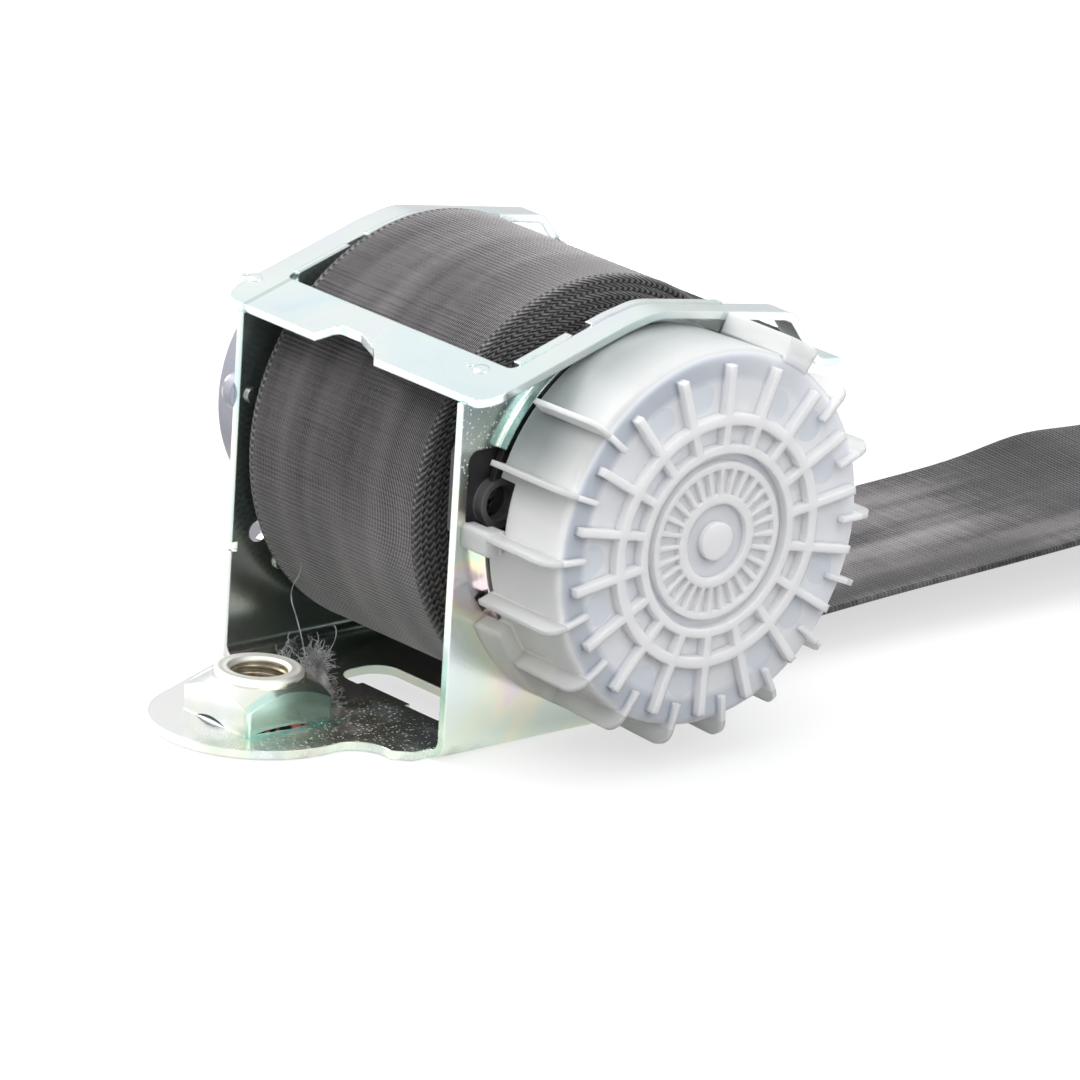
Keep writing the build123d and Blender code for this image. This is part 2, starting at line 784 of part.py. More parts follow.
with BuildPart() as sensor_housing:
    with BuildSketch(at_axis(ball_x - cup_half)):
        add(outline((ball_y - cup_half, cup_top), (ball_y + cup_half, cup_top),
                    (ball_y + cup_half, cup_bottom), (ball_y - cup_half, cup_bottom)))
    extrude(amount=2 * cup_half)
    with BuildSketch(at_axis(ball_x - ear_outer)):
        add(outline((ball_y + cup_half, lever_z + lever_hub),
                    (lever_y + lever_hub, lever_z + lever_hub),
                    (lever_y + lever_hub, lever_z - lever_hub),
                    (ball_y + cup_half, lever_z - ear_drop)))
    extrude(amount=2 * ear_outer)
    with BuildSketch(at_axis(ball_x - ear_inner)):
        add(outline((ball_y + cup_half, lever_z + ear_fork),
                    (lever_y + ear_fork, lever_z + ear_fork),
                    (lever_y + ear_fork, lever_z - ear_low),
                    (ball_y + cup_half, lever_z - ear_low)))
    extrude(amount=2 * ear_inner, mode=Mode.SUBTRACT)
    with BuildSketch(at_axis(ball_x - ear_outer)):
        with Locations((lever_y, lever_z)):
            Circle(lever_pin + running)
    extrude(amount=2 * ear_outer, mode=Mode.SUBTRACT)
    # foot that reaches the side plate
    with BuildSketch(at_axis(ball_x + cup_half)):
        add(outline((bracket_front, bracket_top), (ball_y + cup_half, bracket_top),
                    (ball_y + cup_half, bracket_bottom), (bracket_front, bracket_bottom)))
    extrude(amount=outer_left - ball_x - cup_half)
    # conical cup
    cup_reach = (cup_top - cup_apex) / math.tan(math.radians(cup_slope))
    with BuildSketch(Plane(origin=(ball_x, axis_y + ball_y, axis_z), x_dir=(1, 0, 0),
                           z_dir=(0, -1, 0))):
        add(outline((0, cup_apex), (cup_reach, cup_top), (0, cup_top)))
    revolve(axis=Axis((ball_x, axis_y + ball_y, 0), (0, 0, 1)), mode=Mode.SUBTRACT)
save(sensor_housing, "sensor_housing")

with BuildPart() as sensor_lever:
    reach_y, reach_z = polar(lever_length, lever_angle)
    side_y, side_z = polar(lever_half, lever_angle - 90)
    nose_y, nose_z = polar(lever_tooth, lever_angle - 90)
    width_y, width_z = polar(tooth_width, lever_angle)
    set_y, set_z = polar(tooth_set, lever_angle)
    tip_y = lever_y + reach_y
    tip_z = lever_z + reach_z
    back_y = tip_y - set_y
    back_z = tip_z - set_z
    with BuildSketch(at_axis(ball_x - ear_inner + loose)):
        with Locations((lever_y, lever_z)):
            Circle(lever_hub)
        add(outline((lever_y + side_y, lever_z + side_z), (tip_y + side_y, tip_z + side_z),
                    (tip_y - side_y, tip_z - side_z), (lever_y - side_y, lever_z - side_z)))
    extrude(amount=2 * (ear_inner - loose))
    with BuildSketch(at_axis(ball_x - ear_outer)):
        with Locations((lever_y, lever_z)):
            Circle(lever_pin)
    extrude(amount=2 * ear_outer)
    # arm and tooth that reach across to the control disc
    with BuildSketch(at_axis(ball_x + ear_inner - loose)):
        add(outline((back_y + side_y, back_z + side_z),
                    (tip_y - width_y + side_y, tip_z - width_z + side_z),
                    (tip_y - width_y + nose_y, tip_z - width_z + nose_z),
                    (tip_y + nose_y, tip_z + nose_z), (tip_y - side_y, tip_z - side_z),
                    (back_y - side_y, back_z - side_z)))
    extrude(amount=control_x - ball_x - ear_inner)
save(sensor_lever, "sensor_lever")

# Cover over the locking side, with three screwed ears and a pod for the sensor
shell = 1.4
base_reach = 32.4
base_depth = 5.8
base_end = outer_left - base_depth
base_flat = 0.6
top_reach = 25.4
top_depth = 20.4
top_draft = 3.0
top_wall = 2.2
top_end = outer_left - top_depth
pod_depth = 16.4
pod_end = outer_left - pod_depth
pod_front = -20.4
pod_back = 1.4
pod_top = -12.0
pod_bottom = -31.4
pod_corner = 2.0
pod_inner_corner = 0.8
ear_reach = 3.6
ear_thickness = 2.0
with BuildPart() as mechanism_cover:
    with BuildSketch(at_axis(outer_left)):
        Circle(base_reach)
        with Locations((0, -base_reach)):
            Rectangle(2 * base_reach, 2 * base_flat, mode=Mode.SUBTRACT)
    extrude(amount=base_end - outer_left)
    with BuildSketch(at_axis(base_end)):
        Circle(top_reach)
    extrude(amount=top_end - base_end, taper=top_draft)
    pod_y = (pod_front + pod_back) / 2
    pod_z = (pod_top + pod_bottom) / 2
    with BuildSketch(at_axis(outer_left)):
        with Locations((pod_y, pod_z)):
            RectangleRounded(pod_back - pod_front, pod_top - pod_bottom, pod_corner)
    extrude(amount=pod_end - outer_left)
    with BuildSketch(at_axis(outer_left)):
        for turn in screw_turns:
            with Locations(polar(screw_circle, turn)):
                Circle(ear_reach)
            with Locations(polar(screw_circle - ear_reach, turn)):
                Rectangle(2 * ear_reach, 2 * ear_reach, rotation=turn)
    extrude(amount=-ear_thickness)
    # hollow for the wheels, then the deep hollow and the pod's
    with BuildSketch(at_axis(outer_left)):
        Circle(base_reach - shell)
    extrude(amount=base_end - outer_left + shell, mode=Mode.SUBTRACT)
    with BuildSketch(at_axis(base_end + shell)):
        Circle(top_reach - top_wall)
    extrude(amount=top_end - base_end, mode=Mode.SUBTRACT)
    with BuildSketch(at_axis(outer_left)):
        with Locations((pod_y, pod_z)):
            RectangleRounded(pod_back - pod_front - 2 * shell,
                             pod_top - pod_bottom - 2 * shell, pod_inner_corner)
    extrude(amount=pod_end - outer_left + shell, mode=Mode.SUBTRACT)
    with BuildSketch(at_axis(outer_left)):
        with Locations([polar(screw_circle, turn) for turn in screw_turns]):
            Circle(screw_radius)
    extrude(amount=-ear_thickness, mode=Mode.SUBTRACT)
save(mechanism_cover, "mechanism_cover")

screw_head = 2.8
head_height = 1.5
screw_proud = 0.6
with BuildPart() as cover_screws:
    ear_face = outer_left - ear_thickness
    for x, radius, length in [(ear_face, screw_radius, inner_left + screw_proud - ear_face),
                              (ear_face - head_height, screw_head, head_height)]:
        with BuildSketch(at_axis(x)):
            with Locations([polar(screw_circle, turn) for turn in screw_turns]):
                Circle(radius)
        extrude(amount=length)
save(cover_screws, "cover_screws")

# Belt: leaves the roll at the bottom, passes the tongue and ends in the floor anchor
belt_points = [
    (roll_mid, 66.65, 4.74),
    (roll_mid, 95, 7.1),
    (roll_mid, 125, 9.0),
    (roll_mid, 157, 10.2),
    (roll_mid, 192, 12.0),
    (roll_mid, 228, 13.7),
    (roll_mid, 272, 14.3),
    (roll_mid, 315, 12.0),
    (roll_mid, 352, 8.4),
    (roll_mid, 388, 5.6),
    (roll_mid, 422, 3.9),
    (roll_mid, 452, 3.2),
]
corner_share = 0.45


def arc_radii(points):
    """The radius of every corner, from the shorter run beside it and its turn."""
    radii = []
    for before, here, after in zip(points, points[1:], points[2:]):
        arriving = Vector(*here) - Vector(*before)
        leaving = Vector(*after) - Vector(*here)
        half_turn = math.radians(arriving.get_angle(leaving)) / 2
        shorter = min(arriving.length, leaving.length)
        radii.append(corner_share * shorter / math.tan(half_turn))
    return radii


belt_radii = arc_radii(belt_points)
stop_run = 8
stop_radius = 6.5
stop_pin = 1.6
stop_height = 2.6
stop_ease = 0.05
stop_rounding = 1.2
stop_start = Vector(*belt_points[stop_run])
stop_way = Vector(*belt_points[stop_run + 1]) - stop_start
stop_centre = stop_start + stop_way * 0.5
stop_plane = Plane(origin=stop_centre, x_dir=(1, 0, 0), z_dir=(0, -stop_way.Z, stop_way.Y))
with BuildPart() as webbing_free:
    with BuildLine() as belt_line:
        FilletPolyline(*belt_points, radius=belt_radii)
    belt_length = belt_line.wire().length
    first_way = Vector(*belt_points[1]) - Vector(*belt_points[0])
    with BuildSketch(Plane(origin=belt_points[0], x_dir=(1, 0, 0), z_dir=first_way)):
        Rectangle(webbing_width, webbing_thickness)
    sweep(path=belt_line.wire())
    belt_volume = webbing_free.part.volume
    with BuildSketch(stop_plane):
        Circle(stop_pin)
    extrude(amount=stop_height, both=True, mode=Mode.SUBTRACT)
save(webbing_free, "webbing_free")
print("belt length", belt_length, "radii", belt_radii)
print("belt volume", belt_volume, "expected",
      belt_length * webbing_width * webbing_thickness)

# Stop button, riveted through the webbing so that the tongue can't slide past it
with BuildPart() as stop_button:
    with BuildSketch(stop_plane):
        Circle(stop_pin)
    extrude(amount=webbing_thickness, both=True)
    for side in (1, -1):
        with BuildSketch(stop_plane.offset(side * (webbing_thickness / 2 + stop_ease))):
            Circle(stop_radius)
        extrude(amount=side * stop_height)
    rims = stop_button.edges().filter_by(GeomType.CIRCLE).group_by(Axis.Z)
    fillet(rims[-1], stop_rounding)
save(stop_button, "stop_button")

# Latch tongue: steel plate in a plastic grip, hung on the belt by its slot
tongue_y = 250.0
slide_start = Vector(*belt_points[5])
slide_way = Vector(*belt_points[6]) - slide_start
tongue_rest = 0.49
tongue_z = slide_start.Z + slide_way.Z / slide_way.Y * (tongue_y - slide_start.Y) + tongue_rest
tongue_angle = 60.0
tongue_tilt = math.radians(tongue_angle)
slot_width = 51.0
slot_height = 7.6
slot_bar = 9.0
blade_steel = 2.4
blade_width = 25.0
blade_length = 36.0
grip_width = 68.0
grip_thickness = 7.6
grip_length = 16.0
grip_side = 2.5
grip_end = 2.0
grip_corner = 6.0
blade_corner = 5.0
plate_corner = 3.0
blade_root = 1.0
latch_hole = 14.0
latch_height = 11.2
latch_place = 20.2
tongue_plane = Plane(origin=(roll_mid, tongue_y, tongue_z), x_dir=(1, 0, 0),
                     z_dir=(0, -math.sin(tongue_tilt), math.cos(tongue_tilt)))
plate_low = -slot_height / 2 - slot_bar + grip_end
plate_high = slot_height / 2 + grip_length
with BuildPart() as tongue_plate:
    with BuildSketch(tongue_plane) as tongue_outline:
        with Locations((0, (plate_low + plate_high) / 2)):
            Rectangle(grip_width - 2 * grip_side, plate_high - plate_low)
        with Locations((0, plate_high + blade_length / 2 - blade_root)):
            Rectangle(blade_width, blade_length + 2 * blade_root)
        fillet(tongue_outline.vertices().group_by(Axis.Y)[-1], blade_corner)
        fillet(tongue_outline.vertices().group_by(Axis.Y)[0], plate_corner)
        with Locations((0, plate_high + latch_place)):
            Rectangle(latch_hole, latch_height, mode=Mode.SUBTRACT)
        with Locations((0, 0)):
            Rectangle(slot_width, slot_height, mode=Mode.SUBTRACT)
    extrude(amount=blade_steel / 2, both=True)
save(tongue_plate, "tongue_plate")

with BuildPart() as tongue_grip:
    with BuildSketch(tongue_plane) as grip_outline:
        low = -slot_height / 2 - slot_bar
        high = slot_height / 2 + grip_length
        with Locations((0, (low + high) / 2)):
            RectangleRounded(grip_width, high - low, grip_corner)
        with Locations((0, 0)):
            Rectangle(slot_width, slot_height, mode=Mode.SUBTRACT)
    extrude(amount=grip_thickness / 2, both=True)
    add(tongue_plate.part, mode=Mode.SUBTRACT)
save(tongue_grip, "tongue_grip")

# Floor anchor: steel plate with a bolt hole, its belt loop under a plastic boot
anchor_y = 452.0
anchor_steel = 2.5
anchor_width = 52.0
boot_width = 58.0
boot_length = 40.0
boot_height = 9.0
boot_wall = 3.0
bolt_radius = 5.6
bolt_y = 488.0
eye_radius = 13.0
anchor_half = 12.0
anchor_corner = 3.0
boot_corner = 5.0
boot_rounding = 2.4
boot_shift = 2.0
mouth_overlap = 4.0
plate_front = anchor_y - anchor_half
with BuildPart() as anchor_plate:
    with BuildSketch() as anchor_outline:
        with Locations((roll_mid, anchor_y)):
            RectangleRounded(anchor_width, 2 * anchor_half, anchor_corner)
        with Locations((roll_mid, (anchor_y + bolt_y) / 2)):
            Rectangle(2 * eye_radius, bolt_y - anchor_y)
        with Locations((roll_mid, bolt_y)):
            Circle(eye_radius)
            Circle(bolt_radius, mode=Mode.SUBTRACT)
    extrude(amount=anchor_steel)
save(anchor_plate, "anchor_plate")

with BuildPart() as anchor_boot:
    with BuildSketch():
        with Locations((roll_mid, anchor_y - boot_shift)):
            RectangleRounded(boot_width, boot_length, boot_corner)
    extrude(amount=boot_height)
    top_edges = anchor_boot.faces().sort_by(Axis.Z)[-1].edges()
    fillet(top_edges, boot_rounding)
    add(anchor_plate.part, mode=Mode.SUBTRACT)
    with BuildSketch(Plane.XY.offset(anchor_steel)):
        with Locations((roll_mid, anchor_y - boot_length / 2 + mouth_overlap)):
            Rectangle(webbing_width + 2 * loose, boot_length)
    extrude(amount=boot_wall, mode=Mode.SUBTRACT)
    with BuildSketch():
        with Locations((roll_mid, plate_front - boot_length / 2)):
            Rectangle(anchor_width, boot_length)
    extrude(amount=anchor_steel, mode=Mode.SUBTRACT)
save(anchor_boot, "anchor_boot")
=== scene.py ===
import math
import random
import bmesh
import bpy
from mathutils import Matrix, Vector


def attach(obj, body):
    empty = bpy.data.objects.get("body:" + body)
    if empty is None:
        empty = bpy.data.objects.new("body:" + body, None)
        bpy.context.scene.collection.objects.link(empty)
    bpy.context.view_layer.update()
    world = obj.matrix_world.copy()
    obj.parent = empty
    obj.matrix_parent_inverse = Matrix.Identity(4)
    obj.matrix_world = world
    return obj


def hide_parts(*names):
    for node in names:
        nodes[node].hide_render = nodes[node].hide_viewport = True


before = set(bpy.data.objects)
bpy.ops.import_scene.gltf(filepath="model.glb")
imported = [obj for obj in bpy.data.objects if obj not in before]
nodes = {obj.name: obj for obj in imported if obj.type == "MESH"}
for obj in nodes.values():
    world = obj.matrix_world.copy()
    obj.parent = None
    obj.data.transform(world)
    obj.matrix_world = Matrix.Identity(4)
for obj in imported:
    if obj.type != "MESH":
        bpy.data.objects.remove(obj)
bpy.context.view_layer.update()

scene = bpy.context.scene

# Camera: the photograph's viewpoint, a long lens looking down on the front right corner.
# It turns a little about its own line of sight, as the photograph is tilted.
camera_place = Vector((1.16232, -0.94034, 0.52417))
camera_aim = Vector((0.010451, 0.0530, 0.027705))
camera_tilt = math.radians(3.542)
camera_data = bpy.data.cameras.new("camera")
camera_data.lens = 305.4
camera_data.sensor_width = 36.0
camera_data.clip_start = 0.05
camera_data.clip_end = 50.0
camera_data.dof.use_dof = False
camera = bpy.data.objects.new("camera", camera_data)
scene.collection.objects.link(camera)
backward = (camera_place - camera_aim).normalized()
level_right = Vector((0, 0, 1)).cross(backward).normalized()
level_up = backward.cross(level_right)
image_right = level_right * math.cos(camera_tilt) + level_up * math.sin(camera_tilt)
image_up = level_up * math.cos(camera_tilt) - level_right * math.sin(camera_tilt)
facing = Matrix((image_right, image_up, backward)).transposed()
camera.matrix_world = Matrix.Translation(camera_place) @ facing.to_4x4()
bpy.context.scene.camera = camera
bpy.context.scene.view_settings.view_transform = "Standard"

# Surround: plain white to the camera. What lights the object is brighter overhead than at
# the sides, and what the metal mirrors is a brighter one of the same kind.
surround_tint = (0.97, 0.985, 1.0, 1.0)
surround = bpy.data.worlds.new("surround")
scene.world = surround
surround.use_nodes = True
tree = surround.node_tree
tree.nodes.clear()


def either(tree, share, first, second):
    """A mix of two shaders by a share; returns its output."""
    node = tree.nodes.new("ShaderNodeMixShader")
    for socket, value in zip(node.inputs, (share, first, second)):
        tree.links.new(value, socket)
    return node.outputs["Shader"]


path = tree.nodes.new("ShaderNodeLightPath")
direction = tree.nodes.new("ShaderNodeTexCoord")
rise = tree.nodes.new("ShaderNodeSeparateXYZ")
tree.links.new(direction.outputs["Generated"], rise.inputs["Vector"])
skies = []
for level_strength, full_at in [(0.36, 0.9), (0.66, 0.5)]:
    brighter = tree.nodes.new("ShaderNodeMapRange")
    brighter.inputs["From Max"].default_value = full_at
    brighter.inputs["To Min"].default_value = level_strength
    sky = tree.nodes.new("ShaderNodeBackground")
    sky.inputs["Color"].default_value = surround_tint
    tree.links.new(rise.outputs["Z"], brighter.inputs["Value"])
    tree.links.new(brighter.outputs["Result"], sky.inputs["Strength"])
    skies.append(sky.outputs["Background"])
seen = tree.nodes.new("ShaderNodeBackground")
seen.inputs["Color"].default_value = (1.0, 1.0, 1.0, 1.0)
seen.inputs["Strength"].default_value = 1.0
lit, mirrored = skies
end = tree.nodes.new("ShaderNodeOutputWorld")
tree.links.new(either(tree, path.outputs["Is Camera Ray"],
                      either(tree, path.outputs["Is Glossy Ray"], lit, mirrored),
                      seen.outputs["Background"]), end.inputs["Surface"])

# Floor: a plain pale sheet under the object. It takes the shadow, looks nearly white to the
# camera and to the metal, and throws little light up on to the object.
floor_reach = 6.0
floor_drop = 0.0002
glow_to_camera = 0.62
glow_to_metal = 0.35


def calculate(group, operation, *values):
    """One Math node; each value is a number or another node's output."""
    node = group.nodes.new("ShaderNodeMath")
    node.operation = operation
    for socket, value in zip(node.inputs, values):
        if isinstance(value, (int, float)):
            socket.default_value = value
        else:
            group.links.new(value, socket)
    return node.outputs[0]


def piece_from(edit, title, *materials, smooth=True):
    """A new object at the origin from a finished bmesh, with its materials."""
    if smooth:
        for face in edit.faces:
            face.smooth = True
    mesh = bpy.data.meshes.new(title)
    edit.to_mesh(mesh)
    edit.free()
    for material in materials:
        mesh.materials.append(material)
    piece = bpy.data.objects.new(title, mesh)
    scene.collection.objects.link(piece)
    return piece


floor_paint = bpy.data.materials.new("floor")
floor_paint.use_nodes = True
tree = floor_paint.node_tree
floor_shader = tree.nodes["Principled BSDF"]
floor_shader.inputs["Roughness"].default_value = 0.8
floor_shader.inputs["Specular IOR Level"].default_value = 0.1
path = tree.nodes.new("ShaderNodeLightPath")
bounce = tree.nodes.new("ShaderNodeMix")
bounce.data_type = "RGBA"
bounce.inputs["A"].default_value = (0.96, 0.96, 0.96, 1.0)
bounce.inputs["B"].default_value = (0.16, 0.16, 0.16, 1.0)
tree.links.new(path.outputs["Is Diffuse Ray"], bounce.inputs["Factor"])
tree.links.new(bounce.outputs["Result"], floor_shader.inputs["Base Color"])
glow = tree.nodes.new("ShaderNodeEmission")
glow_share = calculate(tree, "MULTIPLY_ADD", path.outputs["Is Glossy Ray"], glow_to_metal,
                       calculate(tree, "MULTIPLY", path.outputs["Is Camera Ray"],
                                 glow_to_camera))
tree.links.new(either(tree, glow_share, floor_shader.outputs["BSDF"], glow.outputs["Emission"]),
               tree.nodes["Material Output"].inputs["Surface"])
edit = bmesh.new()
bmesh.ops.create_grid(edit, x_segments=1, y_segments=1, size=floor_reach)
bmesh.ops.translate(edit, verts=edit.verts, vec=(0, 0, -floor_drop))
floor = piece_from(edit, "floor", floor_paint, smooth=False)

# Lamps: one broad soft one overhead, which the metal doesn't mirror, and weaker ones from
# the right and the left. Each has its place, what it points at, its width and its power.
for name, place, aim, size, power in [
    ("key", (-0.30, -0.05, 1.45), (0, 0.06, 0.03), 2.8, 23.0),
    ("front", (1.4, -0.15, 0.75), (0, 0.05, 0.03), 1.2, 12.5),
    ("side", (-1.1, -0.25, 1.05), (0, 0.05, 0.04), 0.7, 8.0),
]:
    light_data = bpy.data.lights.new(name, "AREA")
    light_data.size = size
    light_data.energy = power
    light = bpy.data.objects.new(name, light_data)
    scene.collection.objects.link(light)
    light.visible_glossy = name != "key"
    light.location = place
    light.rotation_euler = (Vector(aim) - Vector(place)).to_track_quat("-Z", "Y").to_euler()

# Webbing: polyester with cords along it and picks across it. Its own map has millimetres
# across its width and along its length, which count from the front of the roll on the roll
# and from 400 on the free belt. Painted shade darkens the free belt's far end and near edge
# and the roll's lower front, and the belt's lighter colour is painted sheen.
cord_pitch = 0.44
pick_pitch = 0.84
pick_stagger = 0.12
belt_map_start = 400.0


def pattern(title, *outputs, tinted=False):
    """An empty shader group and its output sockets; a tinted one takes a Base colour."""
    group = bpy.data.node_groups.new(title, "ShaderNodeTree")
    kinds = {"Color": "NodeSocketColor", "Normal": "NodeSocketVector"}
    if tinted:
        group.interface.new_socket("Base", in_out="INPUT", socket_type=kinds["Color"])
    for name in outputs:
        group.interface.new_socket(name, in_out="OUTPUT",
                                   socket_type=kinds.get(name, "NodeSocketFloat"))
    return group, group.nodes.new("NodeGroupOutput").inputs


def product(group, *values):
    """Several values multiplied."""
    result = values[0]
    for value in values[1:]:
        result = calculate(group, "MULTIPLY", result, value)
    return result


def inside(group, value, low, high, soft):
    """One between two limits and nought outside them, with soft ends."""
    rising = group.nodes.new("ShaderNodeMapRange")
    rising.inputs["From Min"].default_value = low - soft
    rising.inputs["From Max"].default_value = low
    falling = group.nodes.new("ShaderNodeMapRange")
    falling.inputs["From Min"].default_value = high
    falling.inputs["From Max"].default_value = high + soft
    falling.inputs["To Min"].default_value = 1.0
    falling.inputs["To Max"].default_value = 0.0
    for node in (rising, falling):
        group.links.new(value, node.inputs["Value"])
    return product(group, rising.outputs["Result"], falling.outputs["Result"])


def noise(group, place, scale, detail, distortion=0.0):
    """A noise texture at a place; returns its value."""
    texture = group.nodes.new("ShaderNodeTexNoise")
    texture.inputs["Scale"].default_value = scale
    texture.inputs["Detail"].default_value = detail
    texture.inputs["Distortion"].default_value = distortion
    group.links.new(place, texture.inputs["Vector"])
    return texture.outputs["Fac"]


def stretched(group, place, scale):
    """A place scaled by its own amount in each direction."""
    node = group.nodes.new("ShaderNodeMapping")
    node.inputs["Scale"].default_value = scale
    group.links.new(place, node.inputs["Vector"])
    return node.outputs["Vector"]


def ramp(group, value, *stops):
    """A colour ramp of (position, colour) stops over a value; returns its colour."""
    node = group.nodes.new("ShaderNodeValToRGB")
    for element, (position, color) in zip(node.color_ramp.elements, (stops[0], stops[-1])):
        element.position = position
        element.color = (*color, 1)
    for position, color in stops[1:-1]:
        node.color_ramp.elements.new(position).color = (*color, 1)
    group.links.new(value, node.inputs["Fac"])
    return node.outputs["Color"]


def blended(group, share, first, second):
    """A mix of two colours; each is a colour or another node's output."""
    node = group.nodes.new("ShaderNodeMix")
    node.data_type = "RGBA"
    group.links.new(share, node.inputs["Factor"])
    for name, value in (("A", first), ("B", second)):
        if isinstance(value, tuple):
            node.inputs[name].default_value = (*value, 1)
        else:
            group.links.new(value, node.inputs[name])
    return node.outputs["Result"]


def relief(group, height, strength, depth, rounding=None):
    """The normal of a bumpy surface, over edges rounded by a small radius."""
    bump = group.nodes.new("ShaderNodeBump")
    bump.inputs["Strength"].default_value = strength
    bump.inputs["Distance"].default_value = depth
    group.links.new(height, bump.inputs["Height"])
    if rounding:
        edges = group.nodes.new("ShaderNodeBevel")
        edges.samples = 4
        edges.inputs["Radius"].default_value = rounding
        group.links.new(edges.outputs["Normal"], bump.inputs["Normal"])
    return bump.outputs["Normal"]


def cloth_place(group):
    """The place on a woven piece, across it and along it."""
    maps = group.nodes.new("ShaderNodeUVMap")
    maps.uv_map = "cloth"
    parts = group.nodes.new("ShaderNodeSeparateXYZ")
    group.links.new(maps.outputs["UV"], parts.inputs["Vector"])
    return maps.outputs["UV"], parts.outputs["X"], parts.outputs["Y"]


def finish(title, group, settings, base=None):
    """A material that takes a group's outputs, with settings on its shader's own sockets."""
    material = bpy.data.materials.new(title)
    material.use_nodes = True
    tree = material.node_tree
    shader = tree.nodes["Principled BSDF"]
    for name, value in settings.items():
        shader.inputs[name].default_value = value
    placed = tree.nodes.new("ShaderNodeGroup")
    placed.node_tree = group
    if base:
        placed.inputs["Base"].default_value = (*base, 1)
    for output in placed.outputs:
        socket = {"Color": "Base Color", "Cover": "Alpha"}.get(output.name, output.name)
        tree.links.new(output, shader.inputs[socket])
    return material


weave, given = pattern("weave", "Color", "Roughness", "Normal")
place, across, along = cloth_place(weave)
column = calculate(weave, "FLOOR", calculate(weave, "DIVIDE", across, cord_pitch))
stagger = product(weave, calculate(weave, "MODULO", column, 2.0), pick_stagger)
column_wave = calculate(weave, "SINE", product(weave, across, 2 * math.pi / cord_pitch))
row_wave = calculate(weave, "SINE", product(weave, calculate(weave, "ADD", along, stagger),
                                            2 * math.pi / pick_pitch))
ridged = calculate(weave, "MULTIPLY_ADD", inside(weave, across, 15.0, 40.0, 7.0), 0.5, 0.14)
height = calculate(weave, "ADD", product(weave, column_wave, ridged),
                   product(weave, row_wave, 0.45))
fibres, picks, bands, patches = [
    calculate(weave, "SUBTRACT", noise(weave, stretched(weave, place, scale), 1.0, detail), 0.5)
    for scale, detail in [((3.4, 0.35, 1.0), 4.0), ((0.07, 2.2, 1.0), 3.0),
                          ((0.16, 0.012, 1.0), 1.0), ((0.05, 0.05, 1.0), 2.0)]]
tone = calculate(weave, "MULTIPLY_ADD", height, 0.15, 0.42)
for streak, weight in [(fibres, 0.55), (picks, 0.75), (bands, 1.1), (patches, 0.5)]:
    tone = calculate(weave, "MULTIPLY_ADD", streak, weight, tone)
# Painted shade: the far end and the near edge of the free belt, and the lower front of the roll.
far_end_painted_shade = product(weave, inside(weave, along, 522.0, 900.0, 32.0),
                  inside(weave, across, -40.0, 1.0, 16.0), 0.95)
near_edge_painted_shade = product(weave, inside(weave, along, belt_map_start, 900.0, 5.0),
                    inside(weave, across, 17.0, 40.0, 9.0), 0.45)
roll_underside_painted_shade = product(weave, inside(weave, along, -90.0, -31.0, 9.0), 0.75)
painted_shade = calculate(weave, "MAXIMUM", near_edge_painted_shade,
                   calculate(weave, "MAXIMUM", far_end_painted_shade, roll_underside_painted_shade))
tone = calculate(weave, "MULTIPLY_ADD", painted_shade, -0.62, tone)
roll_tone = ramp(weave, tone, (0.08, (0.010, 0.009, 0.010)), (0.95, (0.125, 0.110, 0.116)))
# The belt's ramp is lighter than the roll's: painted sheen, as the belt material's own sheen is
# weaker.
belt_tone_with_painted_sheen = ramp(weave, tone, (0.08, (0.008, 0.007, 0.008)), (0.95, (0.255, 0.234, 0.241)))
on_belt = inside(weave, along, 350.0, 900.0, 5.0)
weave.links.new(blended(weave, on_belt, roll_tone, belt_tone_with_painted_sheen), given["Color"])
weave.links.new(calculate(weave, "MULTIPLY_ADD", bands, -0.5, 0.45), given["Roughness"])
weave.links.new(relief(weave, calculate(weave, "MULTIPLY_ADD", picks, 2.0, height), 0.5, 0.00018),
                given["Normal"])
roll_cloth, belt_cloth = [
    finish(title, weave, {"Sheen Weight": sheen, "Sheen Roughness": 0.32,
                          "Sheen Tint": (1.0, 0.965, 0.975, 1), "Specular IOR Level": 0.32})
    for title, sheen in [("webbing", 0.95), ("belt_webbing", 0.40)]]

# Free belt: 47 mm webbing from the underside of the roll to the floor anchor. It leaves
# the view behind the spring cover, where its far edge curls up a little, and the tongue
# holds it off the floor.
belt_width = 0.047
belt_thickness = 0.0011
edge_radius = 0.00045
ripple_height = 0.00010
ripple_rate = 38.0
ripple_skew = 1.3
curl_height = 0.0019
curl_at = 0.200
curl_length = 0.013
curl_from = 0.05
route = [
    (-0.001, 0.06665, 0.00474), (-0.001, 0.095, 0.0071), (-0.001, 0.125, 0.0090),
    (-0.001, 0.157, 0.0102), (-0.001, 0.192, 0.0120), (-0.001, 0.228, 0.0137),
    (-0.001, 0.272, 0.0143), (-0.001, 0.315, 0.0120), (-0.001, 0.352, 0.0084),
    (-0.001, 0.388, 0.0056), (-0.001, 0.422, 0.0039), (-0.001, 0.452, 0.0032),
]
line_data = bpy.data.curves.new("belt_line", "CURVE")
line_data.dimensions = "3D"
line_data.resolution_u = 10
spline = line_data.splines.new("NURBS")
spline.points.add(len(route) - 1)
for point, place in zip(spline.points, route):
    point.co = (*place, 1.0)
spline.order_u = 3
spline.use_endpoint_u = True
line = bpy.data.objects.new("belt_line", line_data)
line_mesh = bpy.data.meshes.new_from_object(line)
belt_path = [vertex.co.copy() for vertex in line_mesh.vertices]
bpy.data.objects.remove(line)
steps = len(belt_path) - 1
travelled = [0.0]
for before, after in zip(belt_path, belt_path[1:]):
    travelled.append(travelled[-1] + (after - before).length)
edit = bmesh.new()
bmesh.ops.create_grid(edit, x_segments=24, y_segments=steps, size=0.5)
